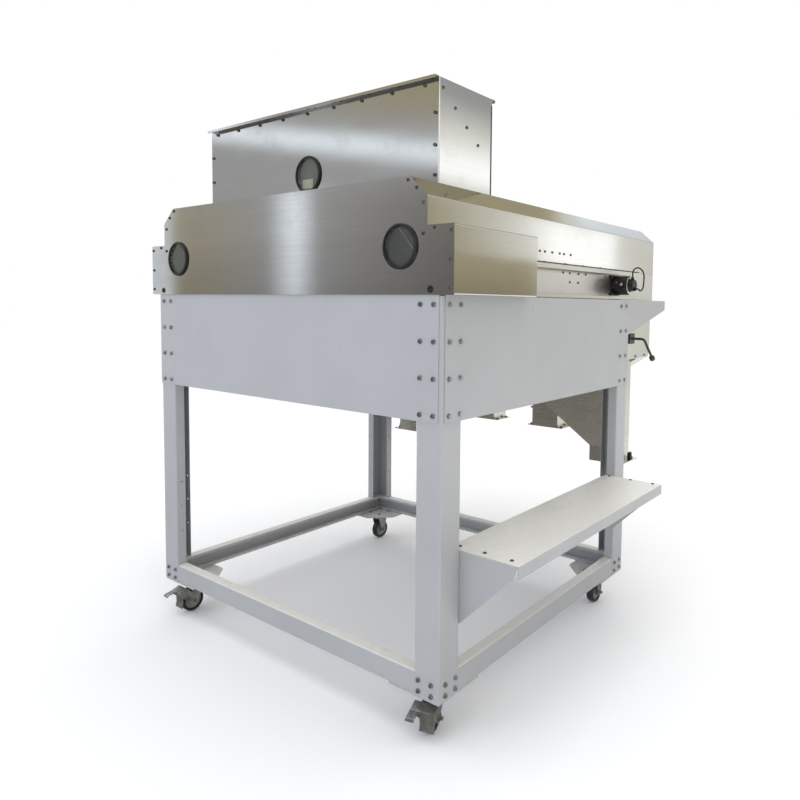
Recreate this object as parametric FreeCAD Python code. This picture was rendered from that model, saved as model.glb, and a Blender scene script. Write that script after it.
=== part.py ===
import FreeCAD, Part
import math
import os

# Magnetic separator for grain: a white folded-sheet frame on four casters carries a
# stainless belt housing with an inlet hopper, side panels with wings, and a discharge
# end whose fractions leave through two outer chutes and two inner spouts.
# Millimetres. X runs along the end panel, Y along the belt, Z up from the floor.
# Each piece is built about the middle of the frame and moved at the end, so that the
# origin lies under the middle of the whole machine.

Vector = FreeCAD.Vector

# Frame
frame_width = 1580.0
frame_depth = 1380.0
post_bottom = 150.0
post_height = 1270.0
post_flange = 100.0
post_lip = 42.0
frame_sheet = 3.0
frame_bend = 2.0
rail_height = 76.0
rail_flange = 45.0
rail_lip = 14.0
end_gap = 1.0
lip_hole_radius = 4.5
lip_hole_drop = 16.0
lip_hole_pitch = 109.0
lip_hole_count = 3

# Corner gussets under the rails
gusset_thickness = 6.0
gusset_leg = 215.0
gusset_end = 112.0

# White panels round the top of the frame
panel_height = 390.0
panel_return = 22.0
panel_corner = 9.0
panel_end_step = 12.0
wing_reach = 463.0
wing_tip_height = 47.0
wing_root_height = 160.0

# Stainless housing
sheet = 3.0
sheet_bend = 1.5
housing_set_in = 53.0
housing_overhang = 10.0
housing_tail = 21.0
cover_width = 102.0
cover_height = 209.0
eave_height = 299.0
ridge_height = 361.0
bevel_width = 70.0
belt_wall_height = 134.0
belt_flange = 33.0
belt_flange_lip = 20.0
belt_flange_end = 170.0
belt_foot = 22.0
belt_foot_lip = 16.0
belt_foot_end = 215.0
seam_gap = 0.5
window_radius = 62.0
window_rim = 9.0
window_rim_thickness = 8.0
window_rim_chamfer = 2.6
window_glass = 4.0
window_glass_lead = 1.0
pane_gap = 0.3
window_edge = 109.0
window_height = 149.0

# Inlet hopper
hopper_set_in = 99.0
hopper_place = 170.0
hopper_length = 306.0
hopper_height = 350.0
hopper_flange = 20.0
hopper_flange_lip = 10.0
hopper_side_drop = 1.0
hopper_side_fold = 25.0
throat = 60.0
slope_top_drop = 32.0
slope_fall = 0.753
hopper_window_height = 99.0
slot_set_in = 38.0

# Discharge end
hood_gap = 12.0
hood_height = 285.0
hood_kick_height = 59.0
hood_kick = 16.0
chute_depth = 253.0
chute_set_in = 37.0
chute_width = 130.0
chute_set_back = 73.0
chute_fall = 437.0
chute_straight = 74.5
chute_middle_gap = 5.0
outlet_flange = 45.0
outlet_flange_extra = 7.0
outlet_flange_thickness = 5.0
outlet_bolt_end = 25.0
outlet_bolt_radius = 4.0
funnel_depth = 127.0
funnel_fall = 290.0
funnel_neck = 22.0
spout_centre = 209.0
spout_width = 158.0
spout_flange = 29.0
spout_top_flange = 12.0
spout_height = 102.0
spout_bolt_pitch = 88.0

# Diverter lever
lever_set_back = 94.0
lever_drop = 183.0
lever_block_width = 58.0
lever_block_height = 50.0
lever_block_depth = 33.0
lever_block_round = 8.0
lever_shaft_radius = 6.0
lever_running_gap = 0.05
lever_start_gap = 2.0
lever_out = 58.0
lever_bend = 16.0
lever_arm_x = 17.0
lever_arm_y = 66.0
lever_arm_z = 93.0
knob_radius = 13.0
knob_length = 27.0
knob_chamfer = 6.0

# Belt drum drive and its lead
drive_set_in = 45.0
drive_height = 66.0
drive_radius = 43.0
drive_length = 78.0
drive_collar_radius = 26.0
drive_collar = 22.0
drive_plate = 92.0
drive_plate_thickness = 8.0
drive_plate_corner = 8.0
gland_radius = 7.0
gland_length = 8.0
gland_drop = 16.0
gland_rise = 36.0
lead_radius = 3.2
lead_reach = 40.0
lead_height = 82.0
lead_drop = 27.0
lead_lean = 8.0
lead_arc_share = 0.45

# Shelf on the right side
shelf_set_in = 50.0
shelf_width = 269.0
shelf_top = 613.0
shelf_lip = 42.0
shelf_back_lip = 20.0
shelf_clearance = 1.0
bracket_height = 238.0
bracket_tip_height = 42.0
bracket_tip_set_back = 18.0
bracket_flange = 30.0
bracket_foot = 2.0

# Casters
wheel_radius = 50.0
wheel_width = 32.0
tread_width = 24.0
tread_round = 3.0
tyre_height = 12.0
tyre_step = 6.0
hub_radius = 17.0
axle_radius = 6.0
axle_running_gap = 0.05
caster_inset = 93.0
caster_plate_x = 88.0
caster_plate_y = 104.0
caster_plate_corner = 8.0
caster_plate_thickness = 4.0
caster_slot_x = 32.0
caster_slot_y = 40.0
caster_bolt_radius = 4.5
swivel_race_radius = 29.0
swivel_race_height = 9.0
swivel_gap = 0.3
caster_trail = 24.0
caster_turn = 15.0
fork_sheet = 4.0
fork_gap = 2.0
fork_width = 56.0
fork_boss = 17.0
fork_shoulder = 16.0
fork_heel = 4.0
fork_heel_drop = 22.0
nut_wall = 4.0
nut_height = 6.0
axle_end = 8.0
pedal_gap = 0.3
pedal_sheet = 3.0
pedal_half = 42.0
pedal_split = -12.0
pedal_slit = 3.0
pedal_ear = 13.0
pedal_crest_out = 36.0
pedal_crest_height = 64.0
pedal_knee_out = 71.0
pedal_knee_height = 51.0
pedal_hood_out = 73.0
pedal_hood_height = 39.0
pedal_web = 12.0
tongue_out = 68.0
tongue_height = 12.0
toe_out = 73.0
toe_drop = 10.0
tab_out = 104.0
tab_height = 45.0
tip_out = 110.0
tip_height = 37.0
pedal_bend = 1.0
tongue_bend = 4.0

# Values that follow from those above
half_x = frame_width / 2
half_y = frame_depth / 2
panel_top = post_bottom + post_height
panel_bottom = panel_top - panel_height
rail_top = post_bottom + rail_height
base = panel_top
eave = base + eave_height
ridge = base + ridge_height
cover_top = base + cover_height
belt_top = base + belt_wall_height
housing_half = half_x - housing_set_in
housing_front = half_y + housing_overhang
cover_half = housing_half + cover_width
ridge_half = housing_half - bevel_width
window_offset = housing_half - window_edge
hopper_half = housing_half - hopper_set_in
hopper_front = -housing_front + hopper_place
hopper_back = hopper_front + hopper_length
hopper_top = ridge + hopper_height
cover_rear = hopper_back - end_gap
slot_half = hopper_half - slot_set_in
hood_front = half_y + hood_gap
hood_bottom = base - hood_height
divider = hood_front + chute_depth
funnel_rear = divider + funnel_depth
hood_rear = funnel_rear + hood_kick
housing_rear = hood_rear + housing_tail
chute_outer = housing_half - chute_set_in
chute_inner = chute_outer - chute_width
chute_kink = hood_bottom - chute_fall
chute_bottom = chute_kink - chute_straight
outlet_front = hood_front + chute_set_back
spout_top = hood_bottom - funnel_fall - funnel_neck
spout_bottom = spout_top - spout_height
lever_y = hood_front + lever_set_back
lever_z = base - lever_drop
drive_y = half_y - drive_set_in
drive_z = base + drive_height
shelf_inner = half_x - shelf_set_in
shelf_outer = shelf_inner + shelf_width
lip_hole_top = shelf_top - lip_hole_drop
bracket_bottom = shelf_top - bracket_height
caster_top = post_bottom - gusset_thickness


def box(x0, x1, y0, y1, z0, z1):
    """A block between two corners."""
    corner = Vector(min(x0, x1), min(y0, y1), min(z0, z1))
    return Part.makeBox(abs(x1 - x0), abs(y1 - y0), abs(z1 - z0), corner)


def cylinder(radius, length, start, direction):
    """A round bar from its start point along a direction."""
    return Part.makeCylinder(radius, length, Vector(*start), Vector(*direction))


def mirror_x(shape):
    """The same piece on the other side of the machine."""
    return shape.mirror(Vector(0, 0, 0), Vector(1, 0, 0))


def mirror_y(shape):
    """The same piece at the other end of the frame."""
    return shape.mirror(Vector(0, 0, 0), Vector(0, 1, 0))


def to_space(point, plane, level):
    """A point of a section drawn in the plane xz, yz or xy."""
    if plane == "xz":
        return Vector(point[0], level, point[1])
    if plane == "yz":
        return Vector(level, point[0], point[1])
    return Vector(point[0], point[1], level)


def prism(points, plane, start, end, radii=None):
    """A section with rounded corners, drawn out between two levels."""
    count = len(points)
    radii = radii or [0.0] * count
    edges = []
    joints = []
    for index in range(count):
        here = Vector(points[index][0], points[index][1], 0)
        before = Vector(points[index - 1][0], points[index - 1][1], 0) - here
        after_point = points[(index + 1) % count]
        after = Vector(after_point[0], after_point[1], 0) - here
        if radii[index] <= 0:
            joints.append((here, here, None))
            continue
        before.normalize()
        after.normalize()
        half_angle = before.getAngle(after) / 2
        reach = radii[index] / math.tan(half_angle)
        inward = before + after
        inward.normalize()
        centre = here + inward * (radii[index] / math.sin(half_angle))
        middle = centre - inward * radii[index]
        joints.append((here + before * reach, here + after * reach, middle))

    def place(vector):
        return to_space((vector.x, vector.y), plane, start)

    for index in range(count):
        enter, leave, middle = joints[index]
        if middle is not None:
            edges.append(Part.Arc(place(enter), place(middle), place(leave)).toShape())
        following = joints[(index + 1) % count][0]
        if leave.distanceToPoint(following) > 1e-6:
            edges.append(Part.LineSegment(place(leave), place(following)).toShape())
    face = Part.Face(Part.Wire(edges))
    direction = to_space((0, 0), plane, end) - to_space((0, 0), plane, start)
    return face.extrude(direction)


def offset_path(path, thickness):
    """The path moved to the left of its travel by a thickness, its corners mitred."""
    moved = []
    for index in range(len(path)):
        here = Vector(path[index][0], path[index][1], 0)
        normals = []
        if index > 0:
            run = here - Vector(path[index - 1][0], path[index - 1][1], 0)
            run.normalize()
            normals.append(Vector(-run.y, run.x, 0))
        if index < len(path) - 1:
            run = Vector(path[index + 1][0], path[index + 1][1], 0) - here
            run.normalize()
            normals.append(Vector(-run.y, run.x, 0))
        total = normals[0]
        if len(normals) == 2:
            total = normals[0] + normals[1]
            total = total * (1.0 / (1.0 + normals[0].dot(normals[1])))
        point = here + total * thickness
        moved.append((point.x, point.y))
    return moved


def folded(path, thickness, plane, start, end, bend):
    """A folded sheet: a path of its outer face, thickened to the left of its travel."""
    count = len(path)
    points = list(path) + offset_path(path, thickness)[::-1]
    radii = [0.0] * (2 * count)
    for index in range(1, count - 1):
        here = Vector(path[index][0], path[index][1], 0)
        run_in = here - Vector(path[index - 1][0], path[index - 1][1], 0)
        run_out = Vector(path[index + 1][0], path[index + 1][1], 0) - here
        turns_left = run_in.x * run_out.y - run_in.y * run_out.x > 0
        outer_radius = bend + thickness if turns_left else bend
        inner_radius = bend if turns_left else bend + thickness
        radii[index] = outer_radius
        radii[2 * count - 1 - index] = inner_radius
    return prism(points, plane, start, end, radii)


def lengthened(path, amount):
    """The path with both its ends drawn on by an amount."""
    ends = []
    for tip, next_point in ((path[0], path[1]), (path[-1], path[-2])):
        away = Vector(tip[0] - next_point[0], tip[1] - next_point[1], 0)
        away.normalize()
        ends.append((tip[0] + away.x * amount, tip[1] + away.y * amount))
    return [ends[0]] + list(path[1:-1]) + [ends[1]]


def drilled(shape, holes, radius, direction, depth):
    """The shape with round holes; each hole is a start point along one direction."""
    for hole in holes:
        shape = shape.cut(cylinder(radius, depth, hole, direction))
    return shape


# Posts: a lipped angle in plan, its lips notched where the rails pass

def post():
    far = post_flange
    path = [(post_lip, far), (0, far), (0, 0), (far, 0), (far, post_lip)]
    shape = folded(path, frame_sheet, "xy", post_bottom, panel_top - frame_sheet, frame_bend)
    notch_top = rail_top + end_gap
    notch = far - frame_sheet - frame_bend
    cut_high = far + 1
    shape = shape.cut(box(frame_sheet, cut_high, notch, cut_high, post_bottom - 1, notch_top))
    shape = shape.cut(box(notch, cut_high, frame_sheet, cut_high, post_bottom - 1, notch_top))
    middle = post_lip / 2 + frame_sheet
    for index in range(lip_hole_count):
        height = lip_hole_top - index * lip_hole_pitch
        shape = shape.cut(cylinder(lip_hole_radius, 3 * frame_sheet,
                                   (far - 2 * frame_sheet, middle, height), (1, 0, 0)))
        shape = shape.cut(cylinder(lip_hole_radius, 3 * frame_sheet,
                                   (middle, far - 2 * frame_sheet, height), (0, 1, 0)))
    # Drawn with its corner at the origin, then moved to the near left corner.
    shape.translate(Vector(-half_x, -half_y, 0))
    return shape


# Bottom rails: lipped channels inside the posts, with their webs outside

def rail_section(web, inward, low):
    """The path of a rail's outer face, from the lower lip round to the upper lip."""
    flange = web + inward * rail_flange
    return [(flange, low + rail_lip), (flange, low), (web, low), (web, low + rail_height),
            (flange, low + rail_height), (flange, low + rail_height - rail_lip)]


def front_rail():
    web = -half_y + frame_sheet
    path = rail_section(web, 1, post_bottom)
    reach = half_x - 2 * frame_sheet - end_gap
    shape = folded(list(reversed(path)), frame_sheet, "yz", -reach, reach, frame_bend)
    return shape


def side_rail():
    web = -half_x + frame_sheet
    path = rail_section(web, 1, post_bottom)
    reach = half_y - frame_sheet - rail_flange - end_gap
    shape = folded(list(reversed(path)), frame_sheet, "xz", -reach, reach, frame_bend)
    tab = half_y - frame_sheet - frame_bend - end_gap
    inset = frame_sheet + frame_bend
    shape = shape.fuse(box(web, web + frame_sheet, -tab, tab, post_bottom + inset,
                           rail_top - inset))
    return shape.removeSplitter()


def gusset():
    """A flat corner plate under two rails, drawn at the near left corner."""
    near = frame_sheet
    points = [(near, near), (gusset_leg, near), (gusset_leg, gusset_end),
              (gusset_end, gusset_leg), (near, gusset_leg)]
    shape = prism(points, "xy", caster_top, post_bottom)
    shape.translate(Vector(-half_x, -half_y, 0))
    centre_x = -half_x + caster_inset
    centre_y = -half_y + caster_inset
    holes = []
    for sx in (-1, 1):
        for sy in (-1, 1):
            holes.append((centre_x + sx * caster_slot_x, centre_y + sy * caster_slot_y,
                          caster_top - 1))
    return drilled(shape, holes, caster_bolt_radius, (0, 0, 1), gusset_thickness + 2)


def four_corners(shape):
    """The piece of one corner, repeated at the other three."""
    return [shape, mirror_x(shape), mirror_y(shape), mirror_y(mirror_x(shape))]


# White panels with a folded upper edge

def front_panel():
    left = -half_x
    right = half_x - panel_end_step
    points = [(left, panel_top), (left, panel_bottom), (right, panel_bottom), (right, panel_top)]
    radii = [0, panel_corner, panel_corner, 0]
    outer = -half_y - frame_sheet
    shape = prism(points, "xz", outer, -half_y, radii)
    shape = shape.fuse(box(left + frame_sheet, right, outer, -half_y + panel_return,
                           panel_top - frame_sheet, panel_top))
    return shape.removeSplitter()


def rear_panel():
    reach = half_x - panel_end_step
    points = [(-reach, panel_top), (-reach, panel_bottom), (reach, panel_bottom), (reach, panel_top)]
    radii = [0, panel_corner, panel_corner, 0]
    shape = prism(points, "xz", half_y, half_y + frame_sheet, radii)
    shape = shape.fuse(box(-reach, reach, half_y - panel_return, half_y + frame_sheet,
                           panel_top - frame_sheet, panel_top))
    return shape.removeSplitter()


def side_panel():
    """The right panel; its rear end is a wing beside the discharge end."""
    front = -half_y + panel_end_step
    rear = half_y
    tip = rear + wing_reach
    points = [(front, panel_top), (front, panel_bottom), (rear, panel_bottom),
              (rear, panel_top - wing_root_height), (tip, panel_top - wing_tip_height),
              (tip, panel_top)]
    radii = [0, panel_corner, panel_corner, 0, panel_corner, 0]
    shape = prism(points, "yz", half_x, half_x + frame_sheet, radii)
    fold = box(half_x - panel_return, half_x + frame_sheet, front + panel_return, tip - panel_return,
               panel_top - frame_sheet, panel_top)
    fold = fold.cut(box(half_x - panel_return - 1, half_x, half_y - panel_return - end_gap,
                        half_y + frame_sheet + end_gap, panel_top - frame_sheet - 1, panel_top + 1))
    return shape.fuse(fold).removeSplitter()


# Stainless housing

def housing_outline():
    """Right half of the end panel's outline, from the foot up to the ridge."""
    return [(cover_half, base), (cover_half, cover_top), (housing_half, cover_top),
            (housing_half, eave), (ridge_half, ridge)]


def end_panel():
    right = housing_outline()
    points = right + [(-x, z) for x, z in reversed(right)]
    outer = -housing_front
    shape = prism(points, "xz", outer, outer + sheet)
    for side in (-1, 1):
        centre = (side * window_offset, outer - 1, base + window_height)
        shape = shape.cut(cylinder(window_radius, sheet + 2, centre, (0, 1, 0)))
    return shape


def housing_roof():
    """One folded sheet: flat top, two bevels and the upper sides, with the feed slot."""
    half = housing_half
    path = [(half, belt_top + seam_gap), (half, eave), (ridge_half, ridge),
            (-ridge_half, ridge), (-half, eave), (-half, belt_top + seam_gap)]
    shape = folded(path, sheet, "xz", -housing_front + sheet, housing_rear - sheet, sheet_bend)
    slot = box(-slot_half, slot_half, hopper_back - throat, hopper_back - 2 * sheet,
               ridge - 2 * sheet, ridge + 1)
    return shape.cut(slot)


def belt_wall():
    """Right belt side wall: a channel with an upper shelf edge and a foot."""
    outer = housing_half
    wall = box(outer - sheet, outer, -housing_front + sheet, housing_rear - sheet, base, belt_top)
    top_path = [(outer, belt_top), (outer + belt_flange, belt_top),
                (outer + belt_flange, belt_top - belt_flange_lip)]
    top = folded(list(reversed(top_path)), sheet, "xz", -housing_front + sheet,
                 half_y + belt_flange_end, sheet_bend)
    foot_path = [(outer, base), (outer + belt_foot, base), (outer + belt_foot, base + belt_foot_lip)]
    foot = folded(foot_path, sheet, "xz", -housing_front + sheet, half_y + belt_foot_end, sheet_bend)
    shape = wall.fuse(top).fuse(foot).removeSplitter()
    return shape


def rear_wall():
    """The plate that closes the housing over the discharge end."""
    edge = [(housing_half, base), (housing_half, eave), (ridge_half, ridge),
            (-ridge_half, ridge), (-housing_half, eave), (-housing_half, base)]
    return prism(edge, "xz", housing_rear - sheet, housing_rear)


def floor_pan():
    inner = housing_half - sheet
    return box(-inner, inner, -housing_front + sheet, hood_front, base, base + sheet)


def drive_cover():
    """The folded box beside the front of the right belt wall."""
    inner = housing_half
    front = -housing_front + sheet
    path = [(inner, cover_top), (cover_half, cover_top), (cover_half, base),
            (inner + belt_foot + end_gap, base)]
    shell = folded(list(reversed(path)), sheet, "xz", front, cover_rear, sheet_bend)
    left = inner + end_gap
    cap = box(left, cover_half - sheet, cover_rear - sheet, cover_rear, base + sheet,
              cover_top - sheet)
    room = box(left - 1, inner + belt_flange + end_gap, cover_rear - sheet - 1, cover_rear + 1,
               belt_top - belt_flange_lip - end_gap, belt_top + end_gap)
    foot_room = box(left - 1, inner + belt_foot + end_gap, cover_rear - sheet - 1, cover_rear + 1,
                    base, base + belt_foot_lip + end_gap)
    return shell.fuse(cap.cut(room).cut(foot_room)).removeSplitter()


def rim(centre):
    """A round window rim standing off the face that it sits on, facing the front."""
    x, y, z = centre
    front = y - window_rim_thickness
    outer = cylinder(window_radius + window_rim, window_rim_thickness, (x, front, z), (0, 1, 0))
    front_edges = [edge for edge in outer.Edges if abs(edge.CenterOfMass.y - front) < 0.01]
    outer = outer.makeChamfer(window_rim_chamfer, front_edges)
    return outer.cut(cylinder(window_radius, window_rim_thickness + 2, (x, front - 1, z), (0, 1, 0)))


def window_rims():
    height = base + window_height
    rims = []
    for side in (-1, 1):
        rims.append(rim((side * window_offset, -housing_front, height)))
    rims.append(rim((0, hopper_front, ridge + hopper_window_height)))
    return Part.makeCompound(rims)


def window_glasses():
    """Round panes in the openings of the end panel and of the hopper."""
    height = base + window_height
    radius = window_radius - pane_gap
    panes = []
    for side in (-1, 1):
        start = (side * window_offset, -housing_front - window_glass_lead, height)
        panes.append(cylinder(radius, window_glass, start, (0, 1, 0)))
    start = (0, hopper_front - window_glass_lead, ridge + hopper_window_height)
    panes.append(cylinder(radius, window_glass, start, (0, 1, 0)))
    return Part.makeCompound(panes)


# Inlet hopper

def hopper_front_wall():
    outer = hopper_front
    path = [(outer - hopper_flange, hopper_top - hopper_flange_lip),
            (outer - hopper_flange, hopper_top), (outer, hopper_top)]
    upper = folded(path, -sheet, "yz", -hopper_half, hopper_half, 0.0)
    wall = box(-hopper_half, hopper_half, outer, outer + sheet, ridge, hopper_top)
    shape = wall.fuse(upper).removeSplitter()
    centre = (0, outer - 1, ridge + hopper_window_height)
    return shape.cut(cylinder(window_radius, sheet + 2, centre, (0, 1, 0)))


def hopper_back_wall():
    outer = hopper_back
    path = [(outer + hopper_flange, hopper_top - hopper_flange_lip),
            (outer + hopper_flange, hopper_top), (outer, hopper_top)]
    upper = folded(path, sheet, "yz", -hopper_half, hopper_half, 0.0)
    wall = box(-hopper_half, hopper_half, outer - sheet, outer, ridge, hopper_top)
    return wall.fuse(upper).removeSplitter()


def hopper_side():
    """Right end wall of the hopper, with folds bolted to the front and back walls."""
    front = hopper_front + sheet
    back = hopper_back - sheet
    inner = hopper_half - hopper_side_fold
    path = [(inner, front), (hopper_half, front), (hopper_half, back), (inner, back)]
    return folded(path, sheet, "xy", ridge, hopper_top - hopper_side_drop, sheet_bend)


def hopper_slope():
    """The sloping plate inside the hopper and its drop beside the throat."""
    reach = hopper_half - hopper_side_fold - end_gap
    top_y = hopper_front + sheet
    top_z = hopper_top - slope_top_drop
    edge_y = hopper_back - throat
    edge_z = top_z - slope_fall * (edge_y - top_y)
    path = lengthened([(top_y, top_z), (edge_y, edge_z), (edge_y, ridge + sheet)], sheet)
    shape = folded(path, -sheet, "yz", -reach, reach, sheet_bend)
    return shape.common(box(-reach, reach, top_y, hopper_back, ridge, hopper_top))


# Discharge end

def hood():
    """The open-ended box between the wings that gathers what leaves the belt."""
    kick_z = hood_bottom + hood_kick_height
    outer = [(hood_front, base), (hood_front, hood_bottom), (hood_rear - hood_kick, hood_bottom),
             (hood_rear, kick_z), (hood_rear, base)]
    inner = [(hood_front + sheet, base + 1), (hood_front + sheet, hood_bottom - 1),
             (hood_rear - hood_kick - sheet, hood_bottom - 1),
             (hood_rear - sheet, kick_z), (hood_rear - sheet, base + 1)]
    shape = prism(outer, "yz", -housing_half, housing_half)
    return shape.cut(prism(inner, "yz", -housing_half + sheet, housing_half - sheet))


def welded_duct(left, right, front, rear):
    """A duct of flat welded walls. The left and right walls are drawn in xz and the front
    and rear walls in yz, each outside and from the top opening down to the foot."""
    clear = 2 * sheet
    across = left + right[::-1]
    along = front + rear[::-1]
    x_low = min(point[0] for point in across) - clear
    x_high = max(point[0] for point in across) + clear
    y_low = min(point[0] for point in along) - clear
    y_high = max(point[0] for point in along) + clear
    outer = prism(across, "xz", y_low, y_high).common(prism(along, "yz", x_low, x_high))
    across = offset_path(lengthened(left, clear), sheet)
    across += offset_path(lengthened(right, clear), -sheet)[::-1]
    along = offset_path(lengthened(front, clear), sheet)
    along += offset_path(lengthened(rear, clear), -sheet)[::-1]
    inner = prism(across, "xz", y_low, y_high).common(prism(along, "yz", x_low, x_high))
    return outer.cut(inner)


def outer_chute():
    """Right outer chute under the front half of the hood, with a sloping floor, a front
    wall that leans back and a bolting flange on its outer side."""
    rear = divider - end_gap / 2
    left_wall = [(chute_middle_gap, hood_bottom), (chute_inner, chute_kink),
                 (chute_inner, chute_bottom)]
    right_wall = [(chute_outer, hood_bottom), (chute_outer, chute_bottom)]
    front_wall = [(hood_front, hood_bottom), (outlet_front, chute_kink),
                  (outlet_front, chute_bottom)]
    rear_wall_path = [(rear, hood_bottom), (rear, chute_bottom)]
    duct = welded_duct(left_wall, right_wall, front_wall, rear_wall_path)
    shoulder = box(chute_outer - sheet, housing_half, hood_front, rear, hood_bottom - sheet,
                   hood_bottom)
    flange_rear = rear + outlet_flange_extra
    flange = box(chute_outer - sheet, chute_outer + outlet_flange, outlet_front, flange_rear,
                 chute_bottom, chute_bottom + outlet_flange_thickness)
    flange = flange.cut(box(chute_outer - sheet, chute_outer, rear, flange_rear + 1,
                            chute_bottom - 1, chute_bottom + outlet_flange_thickness + 1))
    holes = []
    for y in (outlet_front + outlet_bolt_end, flange_rear - outlet_bolt_end):
        holes.append((chute_outer + outlet_flange / 2, y, chute_bottom - 1))
    flange = drilled(flange, holes, outlet_bolt_radius, (0, 0, 1), outlet_flange_thickness + 2)
    return duct.fuse([shoulder, flange]).removeSplitter()


def rear_funnel():
    """Right funnel under the rear half of the hood, down to the neck over a spout."""
    neck = spout_top
    kink = spout_top + funnel_neck
    left = spout_centre - spout_width / 2
    right = spout_centre + spout_width / 2
    front = divider + end_gap / 2
    left_wall = [(chute_middle_gap, hood_bottom), (left, kink), (left, neck)]
    right_wall = [(housing_half, hood_bottom), (right, kink), (right, neck)]
    front_wall = [(front, hood_bottom), (front, neck)]
    rear_wall_path = [(funnel_rear, hood_bottom), (funnel_rear, neck)]
    duct = welded_duct(left_wall, right_wall, front_wall, rear_wall_path)
    return duct.fuse(side_flanges(neck, spout_top_flange)).removeSplitter()


def side_flanges(low, reach):
    """The two flanges at the sides of the right spout, at one height."""
    front = divider + end_gap / 2
    flanges = []
    for side in (-1, 1):
        wall = spout_centre + side * spout_width / 2
        flanges.append(box(wall, wall + side * reach, front, funnel_rear, low,
                           low + outlet_flange_thickness))
    return flanges


def inner_spout():
    """Right inner spout: a short square duct with flanges at its sides."""
    front = divider + end_gap / 2
    half = spout_width / 2
    duct = box(spout_centre - half, spout_centre + half, front, funnel_rear, spout_bottom, spout_top)
    duct = duct.cut(box(spout_centre - half + sheet, spout_centre + half - sheet, front + sheet,
                        funnel_rear - sheet, spout_bottom - 1, spout_top + 1))
    lower = side_flanges(spout_bottom, spout_flange)
    upper = side_flanges(spout_top - outlet_flange_thickness, spout_top_flange)
    shape = duct.fuse(lower + upper).removeSplitter()
    holes = []
    middle = (front + funnel_rear) / 2
    for side in (-1, 1):
        for end in (-1, 1):
            holes.append((spout_centre + side * (half + spout_flange / 2),
                          middle + end * spout_bolt_pitch / 2, spout_bottom - 1))
    return drilled(shape, holes, outlet_bolt_radius, (0, 0, 1), outlet_flange_thickness + 2)


# Diverter lever on the right side of the hood

def lever_block():
    x = housing_half
    shape = box(x, x + lever_block_depth, lever_y - lever_block_width / 2,
                lever_y + lever_block_width / 2, lever_z - lever_block_height / 2,
                lever_z + lever_block_height / 2)
    edges = [edge for edge in shape.Edges
             if abs(edge.CenterOfMass.x - (x + lever_block_depth / 2)) < 0.1]
    shape = shape.makeFillet(lever_block_round, edges)
    hole = cylinder(lever_shaft_radius + lever_running_gap, lever_block_depth + 2,
                    (x - 1, lever_y, lever_z), (1, 0, 0))
    return shape.cut(hole)


def lever():
    """A bent rod with a round knob; its straight end turns in the block."""
    start = Vector(housing_half + lever_start_gap, lever_y, lever_z)
    corner = Vector(housing_half + lever_block_depth + lever_out, lever_y, lever_z)
    tip = corner + Vector(lever_arm_x, lever_arm_y, -lever_arm_z)
    back = start - corner
    back.normalize()
    ahead = tip - corner
    ahead.normalize()
    half_angle = back.getAngle(ahead) / 2
    reach = lever_bend / math.tan(half_angle)
    inward = back + ahead
    inward.normalize()
    centre = corner + inward * (lever_bend / math.sin(half_angle))
    middle = centre - inward * lever_bend
    enter = corner + back * reach
    leave = corner + ahead * reach
    path = Part.Wire([Part.LineSegment(start, enter).toShape(),
                      Part.Arc(enter, middle, leave).toShape(),
                      Part.LineSegment(leave, tip).toShape()])
    circle = Part.Wire(Part.Circle(start, Vector(1, 0, 0), lever_shaft_radius).toShape())
    rod = path.makePipeShell([circle], True, False)
    knob = Part.makeCylinder(knob_radius, knob_length, tip - ahead * knob_length / 2, ahead)
    knob = knob.makeChamfer(knob_chamfer, knob.Edges[0:1] + knob.Edges[2:3])
    return rod.fuse(knob).removeSplitter()


# Drive on the right belt wall

def drum_drive():
    """The drum's drive: plate, round body and collar, with a gland on the collar's end
    and one on its crown for the lead."""
    x = housing_half
    half = drive_plate / 2
    plate = prism([(drive_y - half, drive_z - half), (drive_y + half, drive_z - half),
                   (drive_y + half, drive_z + half), (drive_y - half, drive_z + half)],
                  "yz", x, x + drive_plate_thickness, [drive_plate_corner] * 4)
    x += drive_plate_thickness
    body = cylinder(drive_radius, drive_length - drive_plate_thickness, (x, drive_y, drive_z), (1, 0, 0))
    x = housing_half + drive_length
    collar = cylinder(drive_collar_radius, drive_collar, (x, drive_y, drive_z), (1, 0, 0))
    crown = cylinder(gland_radius, gland_rise, (x + drive_collar / 2, drive_y, drive_z), (0, 0, 1))
    x += drive_collar
    low = cylinder(gland_radius, gland_length, (x, drive_y, drive_z - gland_drop), (1, 0, 0))
    return plate.fuse([body, collar, crown, low]).removeSplitter()


def tube(points, radius):
    """A round tube along straight runs joined by arcs that the runs allow."""
    corners = [Vector(*point) for point in points]
    edges = []
    here = corners[0]
    for index in range(1, len(corners) - 1):
        corner = corners[index]
        back = corners[index - 1] - corner
        ahead = corners[index + 1] - corner
        reach = lead_arc_share * min(back.Length, ahead.Length)
        back.normalize()
        ahead.normalize()
        half_angle = back.getAngle(ahead) / 2
        arc_radius = reach * math.tan(half_angle)
        inward = back + ahead
        inward.normalize()
        middle = corner + inward * (arc_radius / math.sin(half_angle) - arc_radius)
        enter = corner + back * reach
        leave = corner + ahead * reach
        edges.append(Part.LineSegment(here, enter).toShape())
        edges.append(Part.Arc(enter, middle, leave).toShape())
        here = leave
        print("bend radius", round(arc_radius, 1))
    edges.append(Part.LineSegment(here, corners[-1]).toShape())
    path = Part.Wire(edges)
    start = corners[0]
    section = Part.Wire(Part.Circle(start, corners[1] - start, radius).toShape())
    shape = path.makePipeShell([section], True, False)
    print("tube volume share", round(shape.Volume / (math.pi * radius ** 2 * path.Length), 4))
    return shape


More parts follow.
